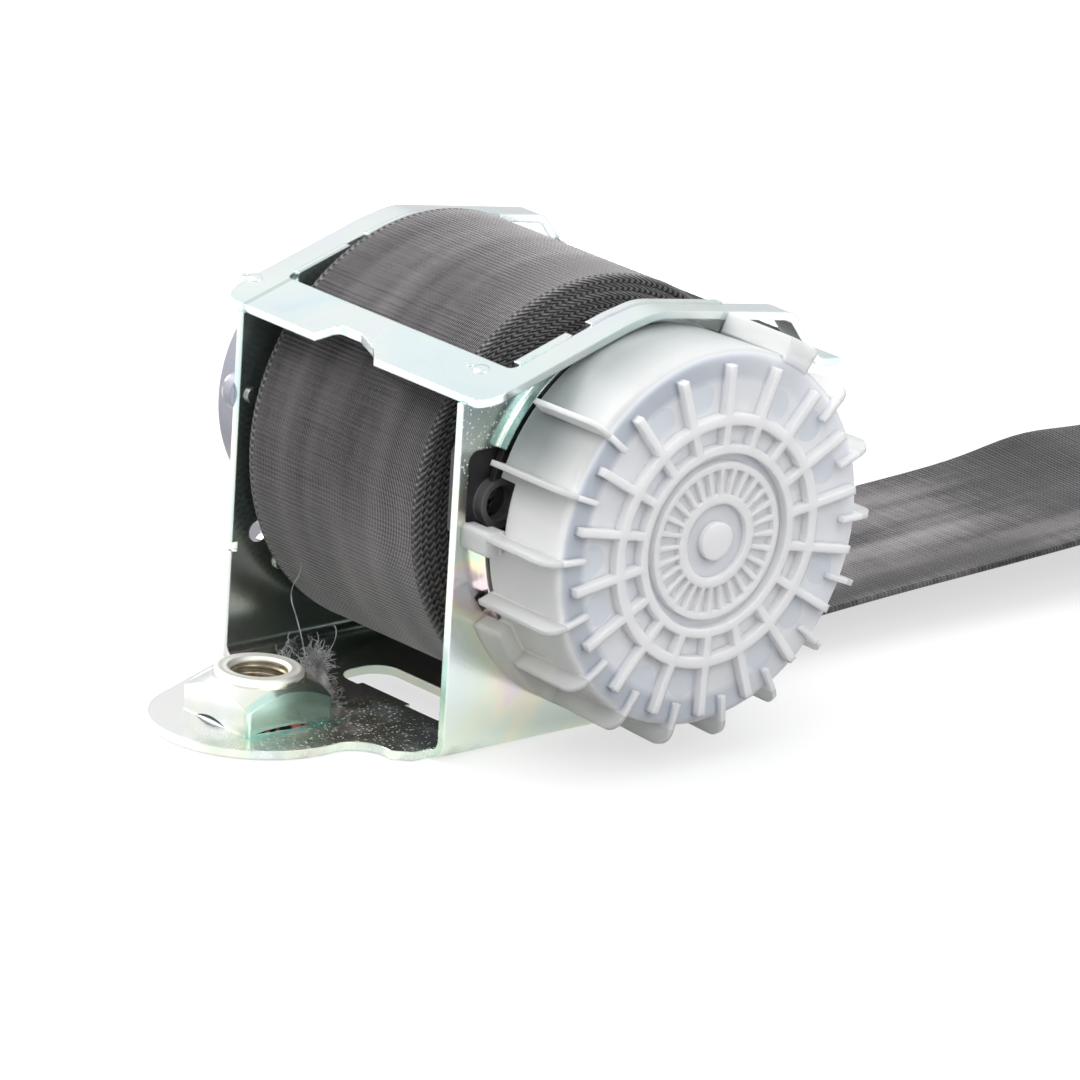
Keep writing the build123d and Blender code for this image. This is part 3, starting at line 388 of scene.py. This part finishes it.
cloth_map = edit.loops.layers.uv.new("cloth")
for face in edit.faces:
    for corner in face.loops:
        here = corner.vert.co
        length_here = travelled[round((here.y + 0.5) * steps)]
        corner[cloth_map].uv = (here.x * belt_width * 1000,
                                length_here * 1000 + belt_map_start)
for vertex in edit.verts:
    step = round((vertex.co.y + 0.5) * steps)
    before = belt_path[max(step - 1, 0)]
    after = belt_path[min(step + 1, steps)]
    way = (after - before).normalized()
    lift = Vector((0, -way.z, way.y))
    width_share = vertex.co.x * 2
    ripple = ripple_height * math.sin(travelled[step] * ripple_rate + width_share * ripple_skew)
    curl = curl_height * math.exp(-((belt_path[step].y - curl_at) / curl_length) ** 2)
    far_share = max(0.0, -width_share - curl_from) ** 1.5
    vertex.co = (belt_path[step] + Vector((width_share * belt_width / 2, 0, 0))
                 + lift * (ripple * (1 - width_share ** 2) + curl * far_share))
free_belt = piece_from(edit, "free_belt", belt_cloth)
thick = free_belt.modifiers.new("thickness", "SOLIDIFY")
thick.thickness = belt_thickness
thick.offset = 0.0
soften = free_belt.modifiers.new("edges", "BEVEL")
soften.width = edge_radius
soften.segments = 3
soften.limit_method = "ANGLE"
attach(free_belt, "housing")
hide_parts("webbing_free")

# Wound webbing: sixteen turns on the spool, each with its two woven edges rounded and a
# little out of line with the next. It is one body with the spool and turns with it. On the
# edges the cloth map counts turns across and millimetres around.
axis_y = 0.0526
axis_z = 0.0410
roll_left = -0.0245
roll_right = 0.0225
roll_outer = 0.0379
roll_core = 0.0140
turns = 16
turn_height = (roll_outer - roll_core) / turns
out_of_line = [0.0, 0.35, 0.1, 0.55, 0.2, 0.45, 0.0, 0.5, 0.3, 0.1, 0.6, 0.25, 0.4, 0.05, 0.3,
               0.0]
edge_depth = 0.0008
face_sink = 0.00004
rim_width = 0.0015
rim_slope = 0.0005
edge_band = 0.00115
edge_drop = 0.0003
knot_pitch = 1.35
edit = bmesh.new()
profile = []
for side, edge_x in ((1, roll_right), (-1, roll_left)):
    lobes = []
    for layer in range(turns):
        middle = roll_core + turn_height * (layer + 0.5)
        inset = out_of_line[layer] * 0.001
        for step in range(9):
            angle = -math.pi / 2 + math.pi * step / 8
            x = edge_x - side * (inset + edge_depth * (1 - math.cos(angle)))
            lobes.append((x, middle + turn_height * 0.5 * math.sin(angle)))
    profile.append(lobes)
outline = profile[0] + [
    (roll_right - rim_width, roll_outer),
    (roll_right - rim_width - rim_slope, roll_outer - face_sink),
    (roll_left + rim_width + rim_slope, roll_outer - face_sink),
    (roll_left + rim_width, roll_outer)] + profile[1][::-1]
corners = [edit.verts.new((x, axis_y, axis_z + radius)) for x, radius in outline]
rim = [edit.edges.new(pair) for pair in zip(corners, corners[1:] + corners[:1])]
bmesh.ops.spin(edit, geom=corners + rim, cent=(0, axis_y, axis_z), axis=(1, 0, 0),
               angle=2 * math.pi, steps=180, use_merge=True)
bmesh.ops.remove_doubles(edit, verts=edit.verts, dist=1e-7)
bmesh.ops.recalc_face_normals(edit, faces=edit.faces)


def about_axis(place):
    """The angle up from the front and the distance, about the spool's axis."""
    return (math.atan2(place.z - axis_z, axis_y - place.y),
            math.hypot(place.z - axis_z, place.y - axis_y))


cloth_map = edit.loops.layers.uv.new("cloth")
for face in edit.faces:
    middle = face.calc_center_median()
    face_turn, face_radius = about_axis(middle)
    on_edge = (middle.x > roll_right - edge_band or middle.x < roll_left + edge_band
               or face_radius < roll_outer - edge_drop)
    face.material_index = 1 if on_edge else 0
    for corner in face.loops:
        place = corner.vert.co
        turned, radius = about_axis(place)
        if turned - face_turn > math.pi:
            turned -= 2 * math.pi
        if face_turn - turned > math.pi:
            turned += 2 * math.pi
        if on_edge:
            corner[cloth_map].uv = ((radius - roll_core) / turn_height, turned * 1000 * radius)
        else:
            corner[cloth_map].uv = (place.x * 1000, turned * 1000 * roll_outer)
selvedge, given = pattern("selvedge", "Color", "Normal")
place, turn_count, around = cloth_place(selvedge)
off_middle = calculate(selvedge, "ABSOLUTE", calculate(
    selvedge, "SUBTRACT", calculate(selvedge, "FRACT", turn_count), 0.5))
turn_shift = product(selvedge, calculate(selvedge, "FLOOR", turn_count), 0.37)
phase = calculate(selvedge, "ADD", calculate(selvedge, "DIVIDE", around, knot_pitch), turn_shift)
phase = calculate(selvedge, "MULTIPLY_ADD", off_middle, 1.9, phase)
knots = calculate(selvedge, "SINE", product(selvedge, phase, 2 * math.pi))
speckle = noise(selvedge, place, 1.6, 3.0)
height = calculate(selvedge, "MULTIPLY_ADD", product(selvedge, knots, speckle), 1.5, speckle)
selvedge.links.new(ramp(selvedge, product(selvedge, height, 0.6), (0.2, (0.005, 0.005, 0.006)),
                        (1.0, (0.27, 0.25, 0.245))), given["Color"])
selvedge.links.new(relief(selvedge, height, 0.6, 0.0004), given["Normal"])
edge_cloth = finish("webbing_edge", selvedge, {"Roughness": 0.75, "Sheen Weight": 0.3})
wound_webbing = piece_from(edit, "wound_webbing", roll_cloth, edge_cloth)
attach(wound_webbing, "reel")
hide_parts("webbing_roll")

# Frame, tie plate, anchor nut and anchor plate: pressed steel, zinc plated, with the thin
# yellow, green and pink shimmer of its passivated coat. Grit lies in the corners beside the
# nut and on the right side plate, and fused seams run along the nut's foot. Painted
# reflections tint the nut's right face, the tops of the plates, a strip on the right side
# plate and the inner face of the left one, and a painted highlight whitens the low front left.
nut_foot = 0.0016
seam_centre = -0.0014
seam_half = 0.0062
left_seam_centre = -0.0012
left_seam_half = 0.0042


def object_place(group):
    """The place on a piece, and its three parts."""
    space = group.nodes.new("ShaderNodeTexCoord").outputs["Object"]
    parts = group.nodes.new("ShaderNodeSeparateXYZ")
    group.links.new(space, parts.inputs["Vector"])
    return space, [parts.outputs[letter] for letter in "XYZ"]


def patch(group, here, *limits):
    """A mask over a box: low, high and softness along X, Y and Z, or None for no limit."""
    return product(group, *[inside(group, value, *limit)
                            for value, limit in zip(here, limits) if limit])


def distance(group, one, other):
    """The length of a line with the two given sides."""
    return calculate(group, "SQRT", calculate(group, "ADD", product(group, one, one),
                                              product(group, other, other)))


def above(group, value, level):
    """How far a value lies above a level, and nought below it."""
    return calculate(group, "MAXIMUM", 0.0, calculate(group, "SUBTRACT", value, level))


zinc, given = pattern("zinc", "Color", "Roughness", "Normal")
place, here = object_place(zinc)
x_here, y_here, z_here = here
coat = ramp(zinc, noise(zinc, place, 24.0, 2.5, 1.3), (0.27, (0.62, 0.77, 0.77)),
            (0.38, (0.78, 0.86, 0.85)), (0.46, (0.80, 0.89, 0.77)), (0.52, (0.93, 0.90, 0.74)),
            (0.58, (0.93, 0.82, 0.84)), (0.65, (0.82, 0.88, 0.92)), (0.76, (0.70, 0.86, 0.80)))
grains = zinc.nodes.new("ShaderNodeTexVoronoi")
grains.inputs["Scale"].default_value = 1350.0
zinc.links.new(place, grains.inputs["Vector"])
corner_grit = patch(zinc, here, (0.006, 0.031, 0.006), (-0.014, 0.022, 0.004),
                    (0.0, 0.0024, 0.001))
top_grit = patch(zinc, here, (0.0318, 0.034, 0.0004), (0.014, 0.026, 0.004),
                 (0.050, 0.064, 0.004))
grain_size = calculate(zinc, "MULTIPLY_ADD", calculate(zinc, "ADD", corner_grit, top_grit),
                       0.24, 0.035)
dusty = product(zinc, calculate(zinc, "LESS_THAN", grains.outputs["Distance"], grain_size),
                calculate(zinc, "GREATER_THAN", noise(zinc, place, 620.0, 1.0), 0.44))
# The base beside the nut goes dark grey and rougher in patches.
corner_darkening = product(zinc, corner_grit, above(zinc, noise(zinc, place, 150.0, 4.0), 0.40))
# Painted reflection: the nut's right face is tinted teal.
nut_right_painted_reflection = patch(zinc, here, (0.0080, 0.0110, 0.0004), (-0.0080, 0.0100, 0.0030),
                  (0.0010, 0.0080, 0.0016))
# Painted reflection: everything above the plates' upper edge is tinted cool blue-white.
plate_top_painted_reflection = patch(zinc, here, None, None, (0.0632, 0.0900, 0.0008))
# Painted reflection: a narrow dark teal strip on the right side plate.
strip_painted_reflection = patch(zinc, here, (0.0334, 0.0380, 0.0002), (0.0180, 0.0440, 0.0010),
              (0.0480, 0.0640, 0.0010))
# Painted highlight: the nut's left faces and the plate in front of them are near white.
front_left_painted_highlight = patch(zinc, here, (-0.0400, 0.0030, 0.0050), (-0.0300, -0.0020, 0.0060),
                   (0.0, 0.0095, 0.0010))
from_nut = distance(zinc, x_here, y_here)
collar = patch(zinc, (z_here, from_nut), (0.0098, 0.0120, 0.0004), (0.0050, 0.0085, 0.0004))
# Painted reflection: the inner face of the left side plate is darker and greener.
inner_left_painted_reflection = patch(zinc, here, (-0.0285, -0.0277, 0.0003))


def tapered(run, centre, half_length):
    """One at the middle of a seam's run, falling to nought at its ends."""
    share = calculate(zinc, "DIVIDE", calculate(zinc, "SUBTRACT", run, centre), half_length)
    return calculate(zinc, "MAXIMUM", 0.0, calculate(
        zinc, "SUBTRACT", 1.0, product(zinc, share, share)))


def seam_line(face, bend, bend_height, half_width):
    """A thin line over a face's mask, bent up from the nut's foot."""
    middle = calculate(zinc, "MULTIPLY_ADD", bend, bend_height, nut_foot)
    off_line = calculate(zinc, "ABSOLUTE", calculate(zinc, "SUBTRACT", z_here, middle))
    return product(zinc, face, calculate(zinc, "LESS_THAN", off_line, half_width))


right_taper = tapered(y_here, seam_centre, seam_half)
right_seam = seam_line(inside(zinc, x_here, 0.0078, 0.0110, 0.0002),
                       noise(zinc, place, 300.0, 0.5), 0.0009,
                       product(zinc, right_taper, noise(zinc, place, 230.0, 0.0), 0.00060))
left_taper = tapered(x_here, left_seam_centre, left_seam_half)
left_seam = seam_line(inside(zinc, y_here, -0.0112, -0.0078, 0.0002), left_taper, 0.0007,
                      product(zinc, left_taper, 0.00028))
seam_tint = ramp(zinc, noise(zinc, place, 560.0, 1.0), (0.44, (0.015, 0.016, 0.018)),
                 (0.52, (0.30, 0.07, 0.06)), (0.62, (0.42, 0.16, 0.13)))
surface = coat
for mask, share, tint in [
    (corner_darkening, 1.6, (0.24, 0.24, 0.22)), (dusty, 1.0, (0.85, 0.84, 0.80)),
    (nut_right_painted_reflection, 0.68, (0.50, 0.82, 0.76)), (plate_top_painted_reflection, 0.7, (0.77, 0.86, 0.88)),
    (strip_painted_reflection, 1.0, (0.26, 0.37, 0.36)), (front_left_painted_highlight, 0.8, (0.98, 0.98, 0.97)),
    (collar, 0.85, (0.98, 0.97, 0.91)), (inner_left_painted_reflection, 0.6, (0.46, 0.58, 0.55)),
    (left_seam, 1.0, (0.06, 0.10, 0.13)), (right_seam, 1.0, seam_tint),
]:
    surface = blended(zinc, product(zinc, mask, share), surface, tint)
zinc.links.new(surface, given["Color"])
rough = calculate(zinc, "MULTIPLY_ADD", noise(zinc, place, 70.0, 3.0), 0.22, 0.10)
for mask, share in [(corner_darkening, 0.9), (collar, 0.35),
                    (calculate(zinc, "MAXIMUM", dusty, right_seam), 0.4)]:
    rough = calculate(zinc, "MULTIPLY_ADD", mask, share, rough)
zinc.links.new(rough, given["Roughness"])
lip_groove = patch(zinc, (z_here, from_nut), (0.0100, 0.0110, 0.0003),
                   (0.0062, 0.0066, 0.0003))
height = calculate(zinc, "ADD", noise(zinc, place, 1700.0, 2.0), dusty)
height = calculate(zinc, "MULTIPLY_ADD", lip_groove, -22.0, height)
zinc.links.new(relief(zinc, height, 0.10, 0.0001, rounding=0.00035), given["Normal"])
plated = finish("zinc_plated_steel", zinc, {"Metallic": 0.97})


def dress(material, *names):
    """Gives CAD nodes a finish in place of their plain one."""
    for name in names:
        nodes[name].data.materials.clear()
        nodes[name].data.materials.append(material)


dress(plated, "frame", "tie_plate", "weld_nut", "anchor_plate")

# Thread of the anchor nut: a helical ridge of 1.27 mm pitch cut in the bore, brown inside
# from dry oil. It stands on the wall of the bore and ends below the nut's lip.
thread_pitch = 0.00127
thread_turns = 7
thread_start = 0.0006
steps_a_turn = 48
root_radius = 0.00504
crest_radius = 0.00472
root_half = 0.00052
crest_half = 0.00010
edit = bmesh.new()
ridge = [edit.verts.new((radius, 0, thread_start + rise)) for radius, rise in
         ((root_radius, -root_half), (crest_radius, -crest_half),
          (crest_radius, crest_half), (root_radius, root_half))]
ridge_edges = [edit.edges.new(pair) for pair in zip(ridge, ridge[1:] + ridge[:1])]
bmesh.ops.spin(edit, geom=ridge + ridge_edges, cent=(0, 0, 0), axis=(0, 0, 1),
               dvec=(0, 0, thread_pitch / steps_a_turn), angle=thread_turns * 2 * math.pi,
               steps=steps_a_turn * thread_turns)
bmesh.ops.holes_fill(edit, edges=[edge for edge in edit.edges if edge.is_boundary])
bmesh.ops.recalc_face_normals(edit, faces=edit.faces)
oiled, given = pattern("oiled_thread", "Color", "Roughness")
place = object_place(oiled)[0]
oiled.links.new(ramp(oiled, noise(oiled, place, 300.0, 3.0), (0.35, (0.24, 0.17, 0.11)),
                     (0.6, (0.52, 0.46, 0.36))), given["Color"])
oiled.links.new(calculate(oiled, "MULTIPLY_ADD", noise(oiled, place, 500.0, 2.0), 0.3, 0.2),
                given["Roughness"])
nut_thread = piece_from(edit, "nut_thread", finish("oiled_thread", oiled, {"Metallic": 0.9}))
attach(nut_thread, "housing")

# Staked spots on the tie plate, over the front corners of the side plates: low domes that
# the punch left, each with a short dent beside it.
plate_front_y = 0.015
plate_front_z = 0.0659
plate_rise = 0.31
dome_radius = 0.0014
dent_radius = 0.0008
edit = bmesh.new()
slope = math.atan(plate_rise)
for spot_x, spot_y in ((-0.0343, 0.0221), (0.0276, 0.0226)):
    spot_z = plate_front_z + (spot_y - plate_front_y) * plate_rise
    lay = (Matrix.Translation((spot_x, spot_y, spot_z)) @ Matrix.Rotation(slope, 4, "X")
           @ Matrix.Diagonal((1.3, 1.0, 0.28, 1.0)))
    bmesh.ops.create_uvsphere(edit, u_segments=28, v_segments=14, radius=dome_radius,
                              matrix=lay)
    dent = (Matrix.Translation((spot_x - 0.0026, spot_y - 0.0002, spot_z - 0.0001))
            @ Matrix.Rotation(slope, 4, "X") @ Matrix.Rotation(0.9, 4, "Z")
            @ Matrix.Diagonal((1.0, 0.35, 0.35, 1.0)))
    bmesh.ops.create_uvsphere(edit, u_segments=20, v_segments=10, radius=dent_radius,
                              matrix=dent)
staked_spots = piece_from(edit, "staked_spots", plated)
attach(staked_spots, "housing")

# Fluff worn off the webbing: a grey clump caught between the anchor nut and the plate, one
# long hair that stands up in front of the roll and a short hooked one.
fibre_radius = 0.000045
lowest_fibre = 0.0017
clump_fibres = 620
wisp_fibres = 60
fluff_draw = random.Random(5)
fluff_data = bpy.data.curves.new("fluff", "CURVE")
fluff_data.dimensions = "3D"
fluff_data.resolution_u = 3
fluff_data.bevel_resolution = 0
fluff_data.bevel_depth = fibre_radius
fluff_foot = Vector((-0.0028, 0.0148, 0.0016))
fluff_reach = Vector((0.0072, 0.0026, 0.0084))
wisp_foot = Vector((-0.0112, 0.0152, 0.0016))
wisp_reach = Vector((0.0024, 0.0010, 0.0086))
for foot, reach in ([(fluff_foot, fluff_reach)] * clump_fibres
                    + [(wisp_foot, wisp_reach)] * wisp_fibres):
    rise = fluff_draw.random() ** 1.4
    bearing = fluff_draw.uniform(0, 2 * math.pi)
    spread = (1 - rise) * math.sqrt(fluff_draw.random())
    place = foot + Vector((reach.x * spread * math.cos(bearing),
                           reach.y * spread * math.sin(bearing), reach.z * rise))
    heading = Vector((fluff_draw.gauss(0, 1), fluff_draw.gauss(0, 1), fluff_draw.gauss(0, 0.6)))
    heading.normalize()
    curl = fluff_data.splines.new("NURBS")
    curl.points.add(5)
    for point in curl.points:
        point.co = (place.x, place.y, max(place.z, lowest_fibre), 1.0)
        heading += Vector((fluff_draw.gauss(0, 0.7), fluff_draw.gauss(0, 0.7),
                           fluff_draw.gauss(0, 0.7)))
        heading.normalize()
        place = place + heading * fluff_draw.uniform(0.0004, 0.0011)
    curl.order_u = 3
    curl.use_endpoint_u = True
for hair_thickness, hair_line in [
    (2.6, [(-0.0060, 0.0155, 0.0060), (-0.0078, 0.0160, 0.0092), (-0.0104, 0.0160, 0.0140),
           (-0.0122, 0.0160, 0.0165), (-0.0117, 0.0160, 0.0193), (-0.0095, 0.0160, 0.0220),
           (-0.0098, 0.0160, 0.0238)]),
    (2.0, [(-0.0030, 0.0160, 0.0080), (-0.0016, 0.0160, 0.0092), (0.0003, 0.0160, 0.0117),
           (0.0010, 0.0160, 0.0137), (0.0007, 0.0160, 0.0152), (0.0002, 0.0160, 0.0151)]),
]:
    hair = fluff_data.splines.new("NURBS")
    hair.points.add(len(hair_line) - 1)
    for point, place in zip(hair.points, hair_line):
        point.co = (*place, 1.0)
        point.radius = hair_thickness
    hair.order_u = 3
    hair.use_endpoint_u = True
fluff_curve = bpy.data.objects.new("fluff_line", fluff_data)
edit = bmesh.new()
edit.from_mesh(bpy.data.meshes.new_from_object(fluff_curve))
bpy.data.objects.remove(fluff_curve)
bmesh.ops.create_icosphere(edit, subdivisions=4, radius=1.0, matrix=(
    Matrix.Translation(fluff_foot + Vector((0, 0, 0.0022)))
    @ Matrix.Diagonal((fluff_reach.x * 0.55, fluff_reach.y * 0.55, fluff_reach.z * 0.40, 1))))
lint, given = pattern("fluff", "Color")
lint.links.new(ramp(lint, noise(lint, object_place(lint)[0], 420.0, 3.0),
                    (0.35, (0.15, 0.145, 0.135)), (0.5, (0.30, 0.30, 0.30)),
                    (0.68, (0.50, 0.505, 0.52))), given["Color"])
grey_lint = finish("fluff", lint, {"Roughness": 0.95, "Sheen Weight": 0.4})
fluff = piece_from(edit, "fluff", grey_lint, smooth=False)
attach(fluff, "housing")

# Spring cover: natural polypropylene, milky and a little see-through, so that the wall and
# the flat panes look greyer and bluer than the ribs, which catch the light in their depth.
# The panes carry round pin marks, and the thin fins let the light through. Painted shade
# darkens the wall towards its top and at its upper left, the hub's recess and a ring round
# the face's edge; painted light brightens the lower left shoulder.
pane_turn = math.radians(20)
pane_start = math.radians(8)
pane_middle = math.radians(11.5)
mark_radius = 0.0029
mark_line = 0.00016
mark_circle = 0.0262
mark_drift = 0.0009
milky, given = pattern("milky_plastic", "Color", "Roughness", "Normal", "Cover")
place, here = object_place(milky)
x_here, y_here, z_here = here
off_y = calculate(milky, "SUBTRACT", y_here, axis_y)
off_z = calculate(milky, "SUBTRACT", z_here, axis_z)
radius = distance(milky, off_y, off_z)
turned = calculate(milky, "SUBTRACT", calculate(milky, "ARCTAN2", off_z, off_y), pane_start)
from_middle = calculate(milky, "SUBTRACT", calculate(
    milky, "FLOORED_MODULO", turned, pane_turn), pane_middle)
number = calculate(milky, "FLOOR", calculate(milky, "DIVIDE", turned, pane_turn))
mark_at = calculate(milky, "MULTIPLY_ADD", calculate(milky, "SINE", product(milky, number, 2.4)),
                    mark_drift, mark_circle)
from_mark = distance(milky, product(milky, from_middle, mark_at),
                     calculate(milky, "SUBTRACT", radius, mark_at))
has_mark = calculate(milky, "GREATER_THAN", calculate(
    milky, "SINE", product(milky, number, 1.7)), -0.55)
mark = product(milky, has_mark, calculate(milky, "LESS_THAN", from_mark, mark_radius))
mark_rim = product(milky, has_mark, calculate(milky, "LESS_THAN", calculate(
    milky, "ABSOLUTE", calculate(milky, "SUBTRACT", from_mark, mark_radius)), mark_line))
raised = inside(milky, x_here, 0.0563, 0.0600, 0.0006)
pane = inside(milky, x_here, 0.0552, 0.0600, 0.0004)
fin = inside(milky, radius, 0.03385, 0.0400, 0.0003)
cloud = noise(milky, place, 90.0, 3.0)
# Painted shade: a dark band on the wall's upper left, next to the face.
deep_painted_shade = patch(milky, here, (0.0340, 0.0430, 0.0090), None, (0.0590, 0.0720, 0.0110))
# Painted shade: the wall grows darker towards its top.
upper_painted_shade = inside(milky, z_here, 0.0600, 0.0900, 0.0130)
wall_tone = ramp(milky, cloud, (0.25, (0.89, 0.89, 0.87)), (0.75, (0.92, 0.92, 0.90)))
wall_tone = blended(milky, upper_painted_shade, wall_tone, (0.53, 0.54, 0.535))
wall_tone = blended(milky, deep_painted_shade, wall_tone, (0.30, 0.325, 0.325))
nearer = inside(milky, y_here, -0.0200, 0.0450, 0.0300)
shadow_ring = product(milky, inside(milky, radius, 0.0292, 0.0322, 0.0014), pane, calculate(
    milky, "MULTIPLY_ADD", nearer, 0.85, 0.10))
ring_band = product(milky, inside(milky, radius, 0.0200, 0.0230, 0.0014), pane)
# Painted shade in the recess round the hub.
hollow_painted_shade = inside(milky, radius, -0.0010, 0.0064, 0.0006)
surface = ramp(milky, cloud, (0.3, (0.72, 0.735, 0.775)), (0.7, (0.77, 0.78, 0.805)))
for mask, share, tint in [
    (mark, 0.7, (0.62, 0.665, 0.74)), (shadow_ring, 1.0, (0.46, 0.49, 0.545)),
    (hollow_painted_shade, 1.0, (0.58, 0.605, 0.65)), (ring_band, 0.7, (0.78, 0.78, 0.785)),
]:
    surface = blended(milky, product(milky, mask, share), surface, tint)
surface = blended(milky, pane, wall_tone, surface)
# Painted light: the wall's lower left shoulder is lightened, with a yellow cast.
shoulder_painted_light = patch(milky, here, (0.0330, 0.0480, 0.003), (-0.0100, 0.0340, 0.006),
                 (0.0, 0.0250, 0.005))
for mask, share, tint in [
    (raised, 1.0, (0.80, 0.795, 0.80)), (fin, 1.0, (0.84, 0.845, 0.84)),
    (shoulder_painted_light, 0.8, (0.93, 0.92, 0.85)),
]:
    surface = blended(milky, product(milky, mask, share), surface, tint)
milky.links.new(surface, given["Color"])
milky.links.new(calculate(milky, "MULTIPLY_ADD", cloud, 0.18, 0.24), given["Roughness"])
milky.links.new(calculate(milky, "MULTIPLY_ADD", fin, -0.28, 1.0), given["Cover"])
flat = product(milky, pane, calculate(milky, "SUBTRACT", 1.0, raised))
height = calculate(milky, "ADD", product(milky, noise(milky, place, 1400.0, 2.0), 0.10),
                   product(milky, flat, mark_rim))
milky.links.new(relief(milky, height, 0.3, 0.0002, rounding=0.0005), given["Normal"])
dress(finish("natural_plastic", milky, {
    "Subsurface Weight": 0.85, "Subsurface Scale": 0.004, "Subsurface Radius": (1.0, 1.0, 1.0),
    "Specular IOR Level": 0.35}), "spring_cover", "spring_arbor", "sensor_lever")

# Plain moulded plastics: black or dark violet-grey, with a fine grain and scuffs that have
# gone grey. The screw boss of the spring plate carries a painted highlight, the spring
# plate's black is lifted a little as painted light in its shaded pocket, and the locking side's
# cover is pale where light falls on it through the oval hole of the side plate.
boss_y = 0.0245
boss_z = 0.0454
hole_y = 0.0258
hole_z = 0.0212
moulded, given = pattern("moulded", "Color", "Roughness", "Normal", tinted=True)
own_colour = moulded.nodes.new("NodeGroupInput").outputs["Base"]
place, here = object_place(moulded)
x_here, y_here, z_here = here
grain = noise(moulded, place, 2400.0, 2.0)
wear = noise(moulded, place, 110.0, 4.0)


def ring_about(middle_y, middle_z, low, high):
    """One between two distances from a line along X, and nought elsewhere."""
    off_y = calculate(moulded, "SUBTRACT", y_here, middle_y)
    off_z = calculate(moulded, "SUBTRACT", z_here, middle_z)
    return inside(moulded, distance(moulded, off_y, off_z), low, high, 0.0002)


scuffs = above(moulded, wear, 0.48)
# Painted highlight on the outside of the spring plate's screw boss.
boss_painted_highlight = product(moulded, ring_about(boss_y, boss_z, 0.0031, 0.0044),
               inside(moulded, x_here, 0.0300, 0.0400, 0.0003))
behind_hole = product(moulded, inside(moulded, x_here, -0.0352, -0.0325, 0.0002),
                      ring_about(hole_y, hole_z, -0.001, 0.0040))
surface = own_colour
for mask, share, tint in [
    (scuffs, 0.7, (0.22, 0.21, 0.21)), (boss_painted_highlight, 0.8, (0.20, 0.19, 0.195)),
    (behind_hole, 1.0, (0.98, 0.98, 0.98)),
]:
    surface = blended(moulded, product(moulded, mask, share), surface, tint)
moulded.links.new(surface, given["Color"])
moulded.links.new(calculate(moulded, "MULTIPLY_ADD", wear, 0.22, 0.20), given["Roughness"])
moulded.links.new(relief(moulded, grain, 0.2, 0.0001, rounding=0.0004), given["Normal"])
for title, base, names in [
    ("black_plastic", (0.022, 0.022, 0.024), (
        "bushing_left", "sensor_housing", "stop_button", "anchor_boot", "control_disc",
        "tongue_grip")),
    # The spring plate's black is a little lighter: painted light in its shaded pocket.
    ("black_plastic_with_painted_light", (0.034, 0.033, 0.036), ("spring_plate",)),
    ("violet_grey_plastic", (0.48, 0.485, 0.56), ("mechanism_cover",)),
]:
    dress(finish(title, moulded, {}, base), *names)

# Bare steel and cast parts: turning marks around X and a slight brown stain, in three
# shades, for the pins, screws, wheels, levers, springs, the spool and the tongue's plate.
metal, given = pattern("bare_metal", "Color", "Roughness", "Normal", tinted=True)
own_colour = metal.nodes.new("NodeGroupInput").outputs["Base"]
place = object_place(metal)[0]
scratches = noise(metal, stretched(metal, place, (2600.0, 260.0, 260.0)), 1.0, 3.0)
stain = above(metal, noise(metal, place, 85.0, 4.0), 0.45)
metal.links.new(blended(metal, product(metal, stain, 0.9), own_colour, (0.22, 0.19, 0.16)),
                given["Color"])
metal.links.new(calculate(metal, "MULTIPLY_ADD", scratches, 0.28, 0.22), given["Roughness"])
metal.links.new(relief(metal, scratches, 0.15, 0.0001, rounding=0.0002), given["Normal"])
for title, base, names in [
    ("plain_steel", (0.55, 0.54, 0.52), (
        "cover_screws", "pawl_pin", "torsion_bar", "ratchet_wheel", "webbing_pin", "lock_pawl",
        "inertia_lever", "sensor_ball", "tongue_plate")),
    ("cast_alloy", (0.50, 0.50, 0.51), ("spool",)),
    ("blued_spring_steel", (0.16, 0.17, 0.21), ("power_spring",)),
]:
    dress(finish(title, metal, {"Metallic": 1.0}, base), *names)
